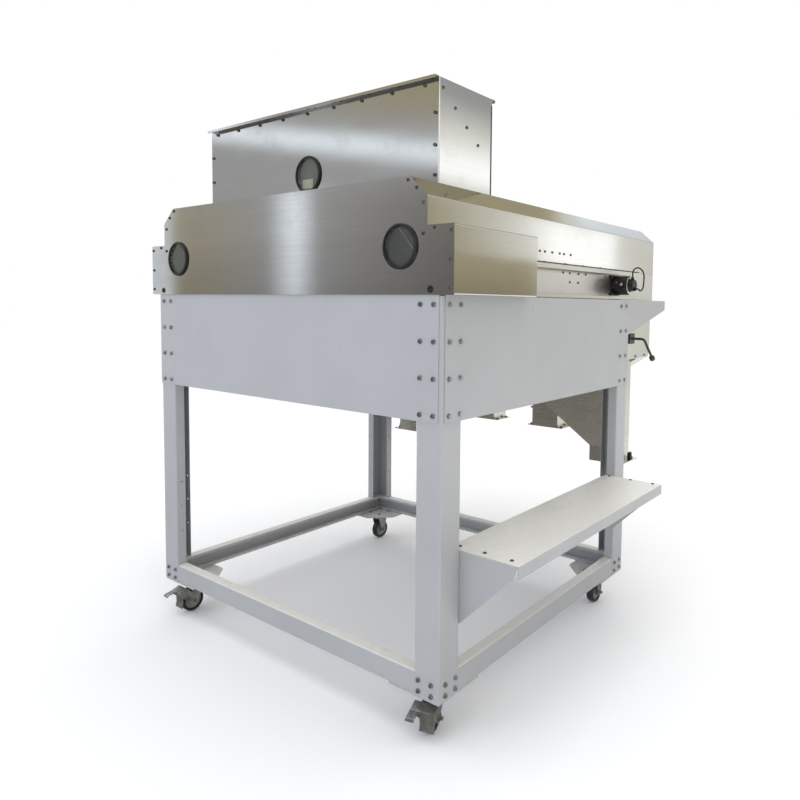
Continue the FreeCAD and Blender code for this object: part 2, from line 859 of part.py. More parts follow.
def drive_lead():
    """The drive's short lead, looped from the low gland up and over into the crown gland."""
    face = housing_half + drive_length + drive_collar
    back = face - drive_collar / 2
    out = face + lead_reach
    crown = drive_z + lead_height
    reach = lead_reach - gland_length
    rise = lead_height - gland_rise
    points = [(face + gland_length, drive_y, drive_z - gland_drop),
              (face + gland_length + 0.3 * reach, drive_y, drive_z - gland_drop),
              (face + gland_length + 0.58 * reach, drive_y + 0.1 * lead_lean, drive_z - lead_drop),
              (out - 0.06 * reach, drive_y + 0.3 * lead_lean, drive_z - 0.5 * lead_drop),
              (out, drive_y + 0.6 * lead_lean, drive_z + 0.12 * lead_height),
              (out, drive_y + lead_lean, drive_z + 0.52 * lead_height),
              (out - 0.25 * reach, drive_y + lead_lean, drive_z + 0.83 * lead_height),
              (face + 0.3 * reach, drive_y + lead_lean, crown),
              (back + 0.15 * drive_collar, drive_y + 0.5 * lead_lean, crown - 0.2 * rise),
              (back, drive_y, crown - 0.5 * rise),
              (back, drive_y, drive_z + gland_rise)]
    return tube(points, lead_radius)


# Shelf and its brackets

def shelf():
    reach = half_y - post_flange - shelf_clearance
    path = [(shelf_inner, shelf_top - shelf_back_lip), (shelf_inner, shelf_top),
            (shelf_outer, shelf_top), (shelf_outer, shelf_top - shelf_lip)]
    return folded(path, -frame_sheet, "xz", -reach, reach, frame_bend)


def shelf_bracket():
    """The near bracket: a triangular plate on the post's lip, with a folded top edge."""
    top = shelf_top - frame_sheet
    tip = shelf_outer - frame_sheet - shelf_clearance
    lip_inner = half_x - post_lip
    plane = -half_y + post_flange
    points = [(lip_inner, top), (lip_inner, bracket_bottom), (half_x + bracket_foot, bracket_bottom),
              (tip - bracket_tip_set_back, top - bracket_tip_height), (tip, top)]
    plate = prism(points, "xz", plane, plane + frame_sheet)
    fold = box(lip_inner, tip, plane, plane + bracket_flange, top - frame_sheet, top)
    shape = plate.fuse(fold).removeSplitter()
    middle = half_x - post_lip / 2 - frame_sheet
    holes = []
    for index in range(1, lip_hole_count):
        holes.append((middle, plane - 1, lip_hole_top - index * lip_hole_pitch))
    return drilled(shape, holes, lip_hole_radius, (0, 1, 0), frame_sheet + 2)


# Casters

def caster_plate():
    """The top plate of a caster, about the caster's own centre."""
    shape = prism([(-caster_plate_x / 2, -caster_plate_y / 2), (caster_plate_x / 2, -caster_plate_y / 2),
                   (caster_plate_x / 2, caster_plate_y / 2), (-caster_plate_x / 2, caster_plate_y / 2)],
                  "xy", caster_top - caster_plate_thickness, caster_top, [caster_plate_corner] * 4)
    holes = []
    for sx in (-1, 1):
        for sy in (-1, 1):
            holes.append((sx * caster_slot_x, sy * caster_slot_y, caster_top - caster_plate_thickness - 1))
    return drilled(shape, holes, caster_bolt_radius, (0, 0, 1), caster_plate_thickness + 2)


def fork(crown_top, axle_offset):
    """A pressed fork about the caster's centre, its wheel axle along X."""
    half = fork_width / 2
    inner = half - fork_sheet
    shoulder = crown_top - fork_sheet
    rear = swivel_race_radius
    boss = fork_boss
    cheek = [(-rear, crown_top), (rear, crown_top), (rear, crown_top - fork_shoulder),
             (axle_offset + boss, wheel_radius + boss / 2), (axle_offset + boss, wheel_radius - boss),
             (axle_offset - boss, wheel_radius - boss), (axle_offset - boss, wheel_radius + boss / 2),
             (-rear - fork_heel, crown_top - fork_heel_drop)]
    toe = boss - fork_gap
    neck = boss - nut_wall
    radii = [fork_sheet, fork_sheet, nut_height, neck, toe, toe, neck, nut_height]
    left = prism(cheek, "yz", -half, -inner, radii)
    right = prism(cheek, "yz", inner, half, radii)
    crown = box(-half, half, -rear, rear, shoulder, crown_top)
    axle = cylinder(axle_radius, fork_width + 2 * nut_height + axle_end,
                    (-half - nut_height, axle_offset, wheel_radius), (1, 0, 0))
    pieces = [right, crown, axle]
    for side in (-1, 1):
        pieces.append(cylinder(axle_radius + nut_wall, nut_height,
                               (side * half, axle_offset, wheel_radius), (side, 0, 0)))
    return left.fuse(pieces).removeSplitter()


def wheel(axle_offset):
    """Tyre and hub of one wheel, turned about its axle."""
    half = wheel_width / 2
    tread = tread_width / 2
    bore = axle_radius + axle_running_gap
    hub_half = fork_width / 2 - fork_sheet - fork_gap
    rim_low = wheel_radius - tyre_height
    rim_high = rim_low + tyre_step / 3
    web = half - tyre_step
    edge = wheel_radius - tread_round
    section = [(bore, -hub_half), (hub_radius, -hub_half), (hub_radius, -web), (rim_low, -web),
               (rim_high, -half), (edge, -half), (wheel_radius, -tread), (wheel_radius, tread),
               (edge, half), (rim_high, half), (rim_low, web), (hub_radius, web),
               (hub_radius, hub_half), (bore, hub_half)]
    points = [Vector(across, radius, 0) for radius, across in section]
    points.append(points[0])
    face = Part.Face(Part.makePolygon(points))
    shape = face.revolve(Vector(0, 0, 0), Vector(1, 0, 0), 360)
    shape.translate(Vector(0, axle_offset, wheel_radius))
    return shape


def brake_pedal(axle_offset):
    """The stamped brake pedal: a hood over the front of the wheel with a locking tongue
    on one half and a release tab on the other, hung on two ears from the axle bolt."""
    def spot(out, height):
        return (axle_offset - out, wheel_radius + height)

    crest = spot(pedal_crest_out, pedal_crest_height)
    knee = spot(pedal_knee_out, pedal_knee_height)
    hood = [crest, knee, spot(pedal_hood_out, pedal_hood_height)]
    tongue = [knee, spot(tongue_out, tongue_height), spot(toe_out, -toe_drop)]
    tab = [knee, spot(tab_out, tab_height), spot(tip_out, tip_height)]
    plates = [folded(hood, pedal_sheet, "yz", -pedal_half, pedal_half, pedal_bend),
              folded(tongue, pedal_sheet, "yz", pedal_split + pedal_slit, pedal_half, tongue_bend),
              folded(tab, pedal_sheet, "yz", -pedal_half, pedal_split, tongue_bend)]
    inner = fork_width / 2 + pedal_gap
    ear = [spot(-pedal_ear, -pedal_ear), spot(-pedal_ear, pedal_ear),
           (crest[0] + pedal_sheet, crest[1] - pedal_sheet), (crest[0], crest[1] - pedal_sheet),
           (knee[0] + pedal_bend, knee[1]), (knee[0] + pedal_bend, knee[1] - pedal_web),
           spot(pedal_ear, -pedal_ear)]
    for side in (-1, 1):
        start = side * inner
        plates.append(prism(ear, "yz", start, start + side * pedal_sheet,
                            [pedal_ear - 1, pedal_ear - 1, 0, 0, 0, 0, pedal_ear - 1]))
    shape = plates[0].fuse(plates[1:])
    bore = axle_radius + nut_wall + pedal_gap
    reach = inner + pedal_sheet
    shape = shape.cut(cylinder(bore, 2 * reach + 2, (-reach - 1, axle_offset, wheel_radius), (1, 0, 0)))
    return shape.removeSplitter()


def swivel_race():
    """The ball race between a caster's plate and its swivelling fork."""
    top = caster_top - caster_plate_thickness
    return cylinder(swivel_race_radius, swivel_race_height, (0, 0, top - swivel_race_height), (0, 0, 1))


def at_corner(shape, side, end, turn=0.0):
    """A caster piece, turned about its swivel and moved to a corner of the frame."""
    moved = shape.copy()
    moved.rotate(Vector(0, 0, 0), Vector(0, 0, 1), turn)
    moved.translate(Vector(side * (half_x - caster_inset), end * (half_y - caster_inset), 0))
    return moved


def build():
    pieces = {}
    corners = ("front_left", "front_right", "rear_left", "rear_right")
    for name, shape in zip(corners, four_corners(post())):
        pieces["post_" + name] = shape
    pieces["rail_front"] = front_rail()
    pieces["rail_rear"] = mirror_y(front_rail())
    pieces["rail_left"] = side_rail()
    pieces["rail_right"] = mirror_x(side_rail())
    pieces["corner_gussets"] = Part.makeCompound(four_corners(gusset()))

    pieces["front_panel"] = front_panel()
    pieces["rear_panel"] = rear_panel()
    pieces["side_panel_right"] = side_panel()
    pieces["side_panel_left"] = mirror_x(side_panel())

    pieces["end_panel"] = end_panel()
    pieces["housing_roof"] = housing_roof()
    pieces["belt_wall_right"] = belt_wall()
    pieces["belt_wall_left"] = mirror_x(belt_wall())
    pieces["rear_wall"] = rear_wall()
    pieces["floor_pan"] = floor_pan()
    pieces["drive_cover"] = drive_cover()
    pieces["side_cover"] = mirror_x(drive_cover())
    pieces["window_rims"] = window_rims()
    pieces["window_glasses"] = window_glasses()

    pieces["hopper_front_wall"] = hopper_front_wall()
    pieces["hopper_back_wall"] = hopper_back_wall()
    pieces["hopper_side_right"] = hopper_side()
    pieces["hopper_side_left"] = mirror_x(hopper_side())
    pieces["hopper_slope"] = hopper_slope()

    pieces["discharge_hood"] = hood()
    pieces["outer_chute_right"] = outer_chute()
    pieces["outer_chute_left"] = mirror_x(outer_chute())
    pieces["rear_funnel_right"] = rear_funnel()
    pieces["rear_funnel_left"] = mirror_x(rear_funnel())
    pieces["inner_spouts"] = Part.makeCompound([inner_spout(), mirror_x(inner_spout())])
    pieces["lever_block"] = lever_block()
    pieces["diverter_lever"] = lever()
    pieces["drum_drive"] = drum_drive()
    pieces["drive_lead"] = drive_lead()

    pieces["shelf"] = shelf()
    pieces["shelf_brackets"] = Part.makeCompound([shelf_bracket(), mirror_y(shelf_bracket())])

    race_low = caster_top - caster_plate_thickness - swivel_race_height
    swivel_fork = fork(race_low - swivel_gap, -caster_trail)
    fixed_fork = fork(caster_top - caster_plate_thickness, 0)
    plates = []
    races = []
    for side in (-1, 1):
        name = "left" if side < 0 else "right"
        turn = 0.0 if side < 0 else caster_turn
        pieces["swivel_fork_" + name] = at_corner(swivel_fork, side, -1, turn)
        pieces["front_wheel_" + name] = at_corner(wheel(-caster_trail), side, -1, turn)
        pieces["brake_pedal_" + name] = at_corner(brake_pedal(-caster_trail), side, -1, turn)
        pieces["rear_wheel_" + name] = at_corner(wheel(0), side, 1)
        plates.append(at_corner(caster_plate().fuse(swivel_race()), side, -1))
        races.append(at_corner(caster_plate().fuse(fixed_fork), side, 1))
    pieces["front_caster_plates"] = Part.makeCompound(plates)
    pieces["rear_caster_forks"] = Part.makeCompound(races)
    return pieces


def main():
    pieces = build()
    whole = FreeCAD.BoundBox()
    for shape in pieces.values():
        whole.add(shape.BoundBox)
    shift = Vector(-whole.Center.x, -whole.Center.y, -whole.ZMin)
    os.makedirs("parts", exist_ok=True)
    for name, shape in pieces.items():
        shape.translate(shift)
        shape.exportStep("parts/" + name + ".step")
        solids = len(shape.Solids)
        print(name, solids, "valid" if shape.isValid() else "NOT VALID", round(shape.Volume / 1000))
    print("shift", shift, "size", whole)


main()
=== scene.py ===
import math

import bmesh
import bpy
from mathutils import Matrix, Vector


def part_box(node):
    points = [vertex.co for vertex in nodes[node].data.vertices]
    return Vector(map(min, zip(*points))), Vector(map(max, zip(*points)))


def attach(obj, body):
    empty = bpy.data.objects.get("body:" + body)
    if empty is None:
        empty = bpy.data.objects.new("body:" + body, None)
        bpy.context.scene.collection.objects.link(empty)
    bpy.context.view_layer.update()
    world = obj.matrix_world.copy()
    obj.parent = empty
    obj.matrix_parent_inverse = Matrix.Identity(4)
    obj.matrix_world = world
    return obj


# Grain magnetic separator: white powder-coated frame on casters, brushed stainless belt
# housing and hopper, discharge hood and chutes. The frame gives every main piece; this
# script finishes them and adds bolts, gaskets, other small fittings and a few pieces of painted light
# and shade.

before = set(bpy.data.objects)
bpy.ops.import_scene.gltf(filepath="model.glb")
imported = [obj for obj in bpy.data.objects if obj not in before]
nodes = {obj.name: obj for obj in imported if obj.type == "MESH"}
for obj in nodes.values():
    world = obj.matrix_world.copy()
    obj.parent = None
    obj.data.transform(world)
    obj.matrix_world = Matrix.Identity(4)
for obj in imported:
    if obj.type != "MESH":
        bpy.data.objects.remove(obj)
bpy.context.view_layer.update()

MM = 0.001


def middle_of_frame():
    """The point on the floor midway between the four posts."""
    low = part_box("post_front_left")[0]
    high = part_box("post_rear_right")[1]
    return Vector(((low.x + high.x) / 2, (low.y + high.y) / 2, 0.0))


CENTRE = middle_of_frame()


def at(x, y, z):
    """A place given in millimetres from the middle of the frame, in the row frame."""
    return CENTRE + Vector((x, y, z)) * MM


# Camera: solved from the straight edges of the posts, panels and housing

CAMERA_PLACE = (2032.4, -2250.4, 1393.9)
CAMERA_YAW = 36.84
CAMERA_PITCH = -3.64
CAMERA_ROLL = 0.676
FOCAL_PIXELS = 667.8
AXIS_PIXEL = (461.8, 346.3)
IMAGE_PIXELS = 800.0
SENSOR_MM = 36.0


def make_camera():
    data = bpy.data.cameras.new("camera")
    data.sensor_width = SENSOR_MM
    data.lens = FOCAL_PIXELS * SENSOR_MM / IMAGE_PIXELS
    data.shift_x = (IMAGE_PIXELS / 2 - AXIS_PIXEL[0]) / IMAGE_PIXELS
    data.shift_y = (AXIS_PIXEL[1] - IMAGE_PIXELS / 2) / IMAGE_PIXELS
    data.clip_end = 100.0
    camera = bpy.data.objects.new("camera", data)
    bpy.context.scene.collection.objects.link(camera)
    camera.location = at(*CAMERA_PLACE)
    yaw, pitch, roll = (math.radians(a) for a in (CAMERA_YAW, CAMERA_PITCH, CAMERA_ROLL))
    turn = Matrix.Rotation(yaw, 4, "Z") @ Matrix.Rotation(math.pi / 2 + pitch, 4, "X")
    camera.rotation_euler = (turn @ Matrix.Rotation(roll, 4, "Z")).to_euler()
    bpy.context.scene.camera = camera


make_camera()


# Materials

def colour(hex_code):
    """An sRGB hex colour as linear red, green, blue and a full alpha."""
    linear = []
    for start in (1, 3, 5):
        value = int(hex_code[start:start + 2], 16) / 255.0
        if value <= 0.04045:
            linear.append(value / 12.92)
        else:
            linear.append(((value + 0.055) / 1.055) ** 2.4)
    return (*linear, 1.0)


def add(tree, kind, settings=None, inputs=None):
    """One shader node with its settings; an input is a value or another node's socket."""
    node = tree.nodes.new(kind)
    for key, value in (settings or {}).items():
        setattr(node, key, value)
    for key, value in (inputs or {}).items():
        if isinstance(value, bpy.types.NodeSocket):
            tree.links.new(value, node.inputs[key])
        else:
            node.inputs[key].default_value = value
    return node


def start_material(name):
    material = bpy.data.materials.new(name)
    material.use_nodes = True
    tree = material.node_tree
    tree.nodes.clear()
    shader = add(tree, "ShaderNodeBsdfPrincipled")
    add(tree, "ShaderNodeOutputMaterial", None, {"Surface": shader.outputs["BSDF"]})
    place = add(tree, "ShaderNodeTexCoord").outputs["Object"]
    return material, tree, shader, place


def stretched(tree, place, scale):
    """Object coordinates scaled along each axis."""
    mapping = add(tree, "ShaderNodeMapping", None, {"Vector": place, "Scale": scale})
    return mapping.outputs["Vector"]


def ramp(tree, source, stops):
    """A colour ramp from a list of (position, hex colour)."""
    node = add(tree, "ShaderNodeValToRGB", None, {"Fac": source})
    elements = node.color_ramp.elements
    while len(elements) < len(stops):
        elements.new(0.5)
    for element, (position, code) in zip(elements, stops):
        element.position = position
        element.color = colour(code)
    return node.outputs["Color"]


def mixed(tree, share, first, second, blend="MIX"):
    """Two colours mixed by a share; each is a hex code or a socket."""
    node = add(tree, "ShaderNodeMix", {"data_type": "RGBA", "blend_type": blend})
    for index, value in ((6, first), (7, second)):
        if isinstance(value, str):
            node.inputs[index].default_value = colour(value)
        else:
            tree.links.new(value, node.inputs[index])
    if isinstance(share, float):
        node.inputs[0].default_value = share
    else:
        tree.links.new(share, node.inputs[0])
    return node.outputs[2]


def maths(tree, operation, first, second=0.0):
    node = add(tree, "ShaderNodeMath", {"operation": operation})
    for index, value in enumerate((first, second)):
        if isinstance(value, (int, float)):
            node.inputs[index].default_value = float(value)
        else:
            tree.links.new(value, node.inputs[index])
    return node.outputs[0]


def spread(tree, source, low, high, out_low, out_high):
    """A value mapped from one range to another, held at its ends."""
    node = add(tree, "ShaderNodeMapRange", None, {
        "Value": source, "From Min": low, "From Max": high, "To Min": out_low, "To Max": out_high})
    return node.outputs["Result"]


def noise(tree, vector, scale, detail=3.0, roughness=0.55):
    node = add(tree, "ShaderNodeTexNoise", None, {
        "Vector": vector, "Scale": scale, "Detail": detail, "Roughness": roughness})
    return node.outputs["Fac"]


def relief(tree, height, strength, distance_mm):
    node = add(tree, "ShaderNodeBump", None, {
        "Height": height, "Strength": strength, "Distance": distance_mm * MM})
    return node.outputs["Normal"]


def facing_up(tree):
    """One where the surface faces the sky, nothing on walls and undersides."""
    normal = add(tree, "ShaderNodeNewGeometry").outputs["Normal"]
    parts = add(tree, "ShaderNodeSeparateXYZ", None, {"Vector": normal})
    return spread(tree, parts.outputs["Z"], 0.35, 0.9, 0.0, 1.0)


def powder_coat(name, base, worn, dust_and_top_light_tone):
    """Polyester powder coat on steel sheet: an even satin film with a faint orange peel,
    a few faint rubbed marks, and shop dust with painted top light on what faces up."""
    material, tree, shader, place = start_material(name)
    cloud = noise(tree, place, 3.5, 4.0)
    tone = mixed(tree, spread(tree, cloud, 0.35, 0.7, 0.0, 0.5), base, worn)
    scuffs = noise(tree, stretched(tree, place, (14.0, 14.0, 3.0)), 6.0, 6.0, 0.7)
    scuffed = spread(tree, scuffs, 0.6, 0.76, 0.0, 0.18)
    tone = mixed(tree, scuffed, tone, worn)
    streaks = noise(tree, stretched(tree, place, (18.0, 18.0, 18.0)), 2.0, 6.0, 0.7)
    # Paler tone on upward faces, broken up by streaks: shop dust and painted top light
    dust = maths(tree, "MULTIPLY", facing_up(tree), spread(tree, streaks, 0.35, 0.6, 0.88, 1.0))
    tone = mixed(tree, dust, tone, dust_and_top_light_tone)
    tree.links.new(tone, shader.inputs["Base Color"])
    gloss = spread(tree, cloud, 0.3, 0.75, 0.26, 0.38)
    tree.links.new(gloss, shader.inputs["Roughness"])
    shader.inputs["IOR"].default_value = 1.5
    # Orange peel cells about 2 mm across
    peel = noise(tree, place, 1.0 / (2.0 * MM), 1.0)
    tree.links.new(relief(tree, peel, 0.12, 0.05), shader.inputs["Normal"])
    return material


def stainless(name, bright, dull, stained, rough_low, rough_high, grain=0.5, anisotropy=0.6):
    """Brushed 304 stainless sheet: grain lines run level round the machine and draw the
    reflections out upright, with long soft tone bands and faint hand marks."""
    material, tree, shader, place = start_material(name)
    # Real brush lines are about 0.1 mm apart; they are drawn 2 mm apart to show.
    lines = noise(tree, stretched(tree, place, (2.5, 2.5, 1.0 / (2.0 * MM))), 1.0, 3.0, 0.6)
    bands = noise(tree, stretched(tree, place, (1.2, 1.2, 9.0)), 1.0, 3.0)
    marks = noise(tree, place, 5.0, 6.0, 0.65)
    tone = mixed(tree, spread(tree, lines, 0.3, 0.7, 0.0, grain), bright, dull)
    tone = mixed(tree, spread(tree, bands, 0.35, 0.7, 0.0, 0.4), tone, dull)
    tone = mixed(tree, spread(tree, marks, 0.52, 0.75, 0.0, 0.3), tone, stained)
    tree.links.new(tone, shader.inputs["Base Color"])
    rough = maths(tree, "ADD", spread(tree, lines, 0.2, 0.8, rough_low, rough_high),
                  spread(tree, marks, 0.5, 0.8, 0.0, 0.06))
    tree.links.new(rough, shader.inputs["Roughness"])
    shader.inputs["Metallic"].default_value = 1.0
    shader.inputs["Anisotropic"].default_value = anisotropy
    shader.inputs["Anisotropic Rotation"].default_value = 0.25
    along = add(tree, "ShaderNodeTangent", {"direction_type": "RADIAL", "axis": "Z"})
    tree.links.new(along.outputs["Tangent"], shader.inputs["Tangent"])
    # Long shallow waves of the thin sheet, about 250 mm apart
    waves = noise(tree, stretched(tree, place, (1.0, 1.0, 1.6)), 4.0, 1.0)
    tree.links.new(relief(tree, waves, 0.06, 4.0), shader.inputs["Normal"])
    return material


def moulded(name, base, worn, roughness, peel_mm, peel_strength=0.2):
    """A dull black or grey part, such as rubber, nylon or painted cast metal, with a fine
    skin texture and paler rubbed patches."""
    material, tree, shader, place = start_material(name)
    wear = noise(tree, place, 25.0, 5.0, 0.6)
    tone = mixed(tree, spread(tree, wear, 0.5, 0.75, 0.0, 0.6), base, worn)
    tree.links.new(tone, shader.inputs["Base Color"])
    shader.inputs["Roughness"].default_value = roughness
    skin = noise(tree, place, 1.0 / (peel_mm * MM), 2.0)
    tree.links.new(relief(tree, skin, peel_strength, 0.1), shader.inputs["Normal"])
    return material


def zinc_plate(name, bright, dull, dark):
    """Zinc-plated pressed steel: a thin grey metal film with cloudy passivation, dark
    grime in its patches and a soft polish."""
    material, tree, shader, place = start_material(name)
    cloud = noise(tree, place, 40.0, 5.0, 0.6)
    grime = noise(tree, place, 18.0, 6.0, 0.7)
    tone = mixed(tree, spread(tree, cloud, 0.35, 0.65, 0.0, 1.0), bright, dull)
    tone = mixed(tree, spread(tree, grime, 0.55, 0.7, 0.0, 0.6), tone, dark)
    tree.links.new(tone, shader.inputs["Base Color"])
    tree.links.new(spread(tree, cloud, 0.3, 0.7, 0.24, 0.42), shader.inputs["Roughness"])
    shader.inputs["Metallic"].default_value = 1.0
    tree.links.new(relief(tree, cloud, 0.15, 0.2), shader.inputs["Normal"])
    return material


def smoked_glass():
    """Round acrylic panes: clear, a little smoky, with fine scratches and dust inside."""
    material, tree, shader, place = start_material("smoky_acrylic_pane")
    film = noise(tree, place, 30.0, 5.0, 0.6)
    tone = mixed(tree, spread(tree, film, 0.4, 0.7, 0.0, 0.5), "#e4e8e2", "#cfd3cc")
    tree.links.new(tone, shader.inputs["Base Color"])
    tree.links.new(spread(tree, film, 0.4, 0.8, 0.02, 0.12), shader.inputs["Roughness"])
    shader.inputs["IOR"].default_value = 1.49
    shader.inputs["Transmission Weight"].default_value = 0.98
    return material


RIGHT_CASTER_TURN = 15.0


def axle_of(side, end):
    """A point on a caster wheel's axle and the axle's way, from the wheel's own joint."""
    low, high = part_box("{}_wheel_{}".format(end, side))
    if (end, side) == ("front", "right"):
        turn = math.radians(RIGHT_CASTER_TURN)
        return (low + high) / 2, Vector((math.cos(turn), math.sin(turn), 0.0))
    return (low + high) / 2, Vector((1.0, 0.0, 0.0))


def caster_wheel(name, side, end):
    """A black rubber tyre on a grey nylon hub; the hub shows as rings round the axle."""
    material, tree, shader, place = start_material(name)
    middle, axle = axle_of(side, end)
    local = add(tree, "ShaderNodeVectorMath", {"operation": "SUBTRACT"}, {0: place})
    local.inputs[1].default_value = middle
    local = local.outputs["Vector"]
    reach = add(tree, "ShaderNodeVectorMath", {"operation": "CROSS_PRODUCT"}, {0: local})
    reach.inputs[1].default_value = axle
    radius = add(tree, "ShaderNodeVectorMath", {"operation": "LENGTH"},
                 {0: reach.outputs["Vector"]}).outputs["Value"]
    tyre = spread(tree, radius, 37.5 * MM, 38.5 * MM, 0.0, 1.0)
    rings = maths(tree, "SINE", maths(tree, "MULTIPLY", radius, 2.0 * math.pi / (9.0 * MM)))
    hub = mixed(tree, spread(tree, rings, -1.0, 1.0, 0.0, 1.0), "#5f6365", "#93989a")
    dirt = noise(tree, place, 60.0, 5.0, 0.65)
    rubber = mixed(tree, spread(tree, dirt, 0.4, 0.7, 0.0, 1.0), "#151615", "#33332f")
    tree.links.new(mixed(tree, tyre, hub, rubber), shader.inputs["Base Color"])
    tree.links.new(spread(tree, dirt, 0.3, 0.7, 0.4, 0.65), shader.inputs["Roughness"])
    tree.links.new(relief(tree, dirt, 0.2, 0.3), shader.inputs["Normal"])
    return material


# The third tone is the paler top: shop dust and painted top light
light_coat = powder_coat("light_grey_powder_coat", "#adaeaf", "#a3a4a5", "#eceae2")
sheet_level = stainless("stainless_level_grain", "#dfdfde", "#cecdca", "#c4c0b7", 0.08, 0.13,
                        0.5, 0.8)
sheet_hopper = stainless("stainless_hopper_sheet", "#e0e1e0", "#d3d2cf", "#c8c5bd", 0.06, 0.1,
                         0.35, 0.4)
sheet_side = stainless("stainless_side_sheet", "#e1e1df", "#d4d3cf", "#c8c5bb", 0.07, 0.12,
                       0.35, 0.3)
sheet_belt = stainless("stainless_belt_wall", "#e3e2df", "#d8d6d0", "#cbc5b6", 0.28, 0.34,
                       0.25, 0.2)
sheet_chute = stainless("stainless_mill_finish", "#d2d0c6", "#c4c1b4", "#aea893", 0.2, 0.34,
                        0.25, 0.2)
gasket_rubber = moulded("gasket_rubber", "#1d1e1c", "#3a3b37", 0.5, 1.5)
black_cast = moulded("black_painted_cast_iron", "#161616", "#2f2f2d", 0.4, 1.2)
lever_black = moulded("blackened_steel_bar", "#343431", "#4b4a45", 0.38, 1.0, 0.1)
lead_rubber = moulded("cable_rubber", "#1b1b1b", "#2f2e2c", 0.45, 1.0, 0.1)
zinc = zinc_plate("zinc_plated_pressing", "#c2c4bf", "#9b9e98", "#4f514b")
# Bright metal for the drive's two screws and for its ring of painted highlight
alloy_and_highlight = zinc_plate("bright_metal_and_painted_highlight", "#eceeee", "#d6d8d8", "#a8aaaa")
# Dark tone for strips of painted shade in narrow gaps
gap_shade_dark = moulded("dark_gap_shade", "#4a4a45", "#6b6a62", 0.55, 1.0, 0.15)
# Tones of painted shade for discs behind the panes: darkest on the right, paler on the left, grey for
# the hopper; the grey also colours the scraper's edge
shade_disc_dark = moulded("painted_shade_disc_dark", "#151614", "#1f201d", 0.6, 12.0, 0.0)
shade_disc_paler = moulded("painted_shade_disc_paler", "#2a2723", "#37332e", 0.6, 12.0, 0.0)
grey_shade_disc_and_edge = moulded("grey_painted_shade_and_edge", "#7d7e75", "#8d8e84", 0.6, 12.0, 0.0)
bolt_zinc = zinc_plate("zinc_plated_bolt", "#b9bec2", "#8e9397", "#4b4d4e")
screw_dark = zinc_plate("dulled_steel_screw", "#86857d", "#625f57", "#38362f")
# Cream tone for a plate of painted light seen through the hopper pane
light_patch_paint = moulded("cream_painted_light_patch", "#fbf5de", "#ece3c4", 0.5, 1.5, 0.1)
pane = smoked_glass()


def finish_node(name, material):
    """A node from the frame takes a material in place of its plain one."""
    slots = nodes[name].material_slots
    if not slots:
        nodes[name].data.materials.append(material)
    for slot in slots:
        slot.link = "OBJECT"
        slot.material = material


def finish_nodes():
    for name in nodes:
        if name.startswith(("post_", "rail_", "shelf")) or name in (
                "corner_gussets", "front_panel", "rear_panel", "side_panel_left", "side_panel_right"):
            finish_node(name, light_coat)
        elif name.startswith("hopper_"):
            finish_node(name, sheet_hopper)
        elif name in ("end_panel", "floor_pan", "rear_wall"):
            finish_node(name, sheet_level)
        elif name.startswith("belt_wall"):
            finish_node(name, sheet_belt)
        elif name in ("housing_roof", "drive_cover", "side_cover", "discharge_hood"):
            finish_node(name, sheet_side)
        elif name.startswith(("outer_chute", "rear_funnel", "inner_spout")):
            finish_node(name, sheet_chute)
        elif name == "window_rims":
            finish_node(name, gasket_rubber)
        elif name == "window_glasses":
            finish_node(name, pane)
        elif name == "drum_drive":
            finish_node(name, black_cast)
        elif name in ("lever_block", "diverter_lever"):
            finish_node(name, lever_black)
        elif name == "drive_lead":
            finish_node(name, lead_rubber)
        elif "_wheel_" in name:
            end, side = name.split("_wheel_")
            finish_node(name, caster_wheel("tyre_and_hub_" + name, side, end))
        else:
            finish_node(name, zinc)


finish_nodes()


# Small pieces

def add_piece(shape, name, body, material):
    """The finished mesh as a piece that rides on a body."""
    bmesh.ops.recalc_face_normals(shape, faces=shape.faces)
    mesh = bpy.data.meshes.new(name)
    shape.to_mesh(mesh)
    shape.free()
    mesh.materials.append(material)
    piece = bpy.data.objects.new(name, mesh)
    bpy.context.scene.collection.objects.link(piece)
    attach(piece, body)


def standing(point, direction, turn=0.0):
    """The place of a fastener whose own Z axis points away from its seat."""
    lean = Vector((0, 0, 1)).rotation_difference(Vector(direction)).to_matrix().to_4x4()
    return Matrix.Translation(point) @ lean @ Matrix.Rotation(turn, 4, "Z")


def turned(shape, place, outline, steps, smooth=True):
    """A round piece: an outline of radius and height in mm, spun about its own axis."""
    corners = [shape.verts.new((radius * MM, 0.0, height * MM)) for radius, height in outline]
    edges = [shape.edges.new(pair) for pair in zip(corners, corners[1:])]
    made = bmesh.ops.spin(shape, geom=corners + edges, axis=(0, 0, 1), cent=(0, 0, 0),
                          dvec=(0, 0, 0), angle=2 * math.pi, steps=steps, use_merge=True)
    seen = set(corners)
    for piece in made["geom_last"]:
        if isinstance(piece, bmesh.types.BMVert):
            seen.add(piece)
    joined = set()
    border = list(seen)
    while border:
        vert = border.pop()
        if vert not in joined:
            joined.add(vert)
            border.extend(edge.other_vert(vert) for edge in vert.link_edges)
    for vert in joined:
        for face in vert.link_faces:
            face.smooth = smooth
    bmesh.ops.transform(shape, matrix=place, verts=list(joined))
    bmesh.ops.remove_doubles(shape, verts=list(joined), dist=0.01 * MM)


def bar(shape, low, high, edge):
    """A straight bar or block between two corners, its edges rounded by so many mm."""
    low, high = Vector(low), Vector(high)
    size = high - low
    place = Matrix.Translation((low + high) / 2) @ Matrix.Diagonal((*size, 1.0))
    made = bmesh.ops.create_cube(shape, size=1.0, matrix=place)
    edges = set(e for v in made["verts"] for e in v.link_edges)
    bmesh.ops.bevel(shape, geom=list(edges), offset=edge * MM, segments=2, profile=0.5,
                    affect="EDGES", material=-1)


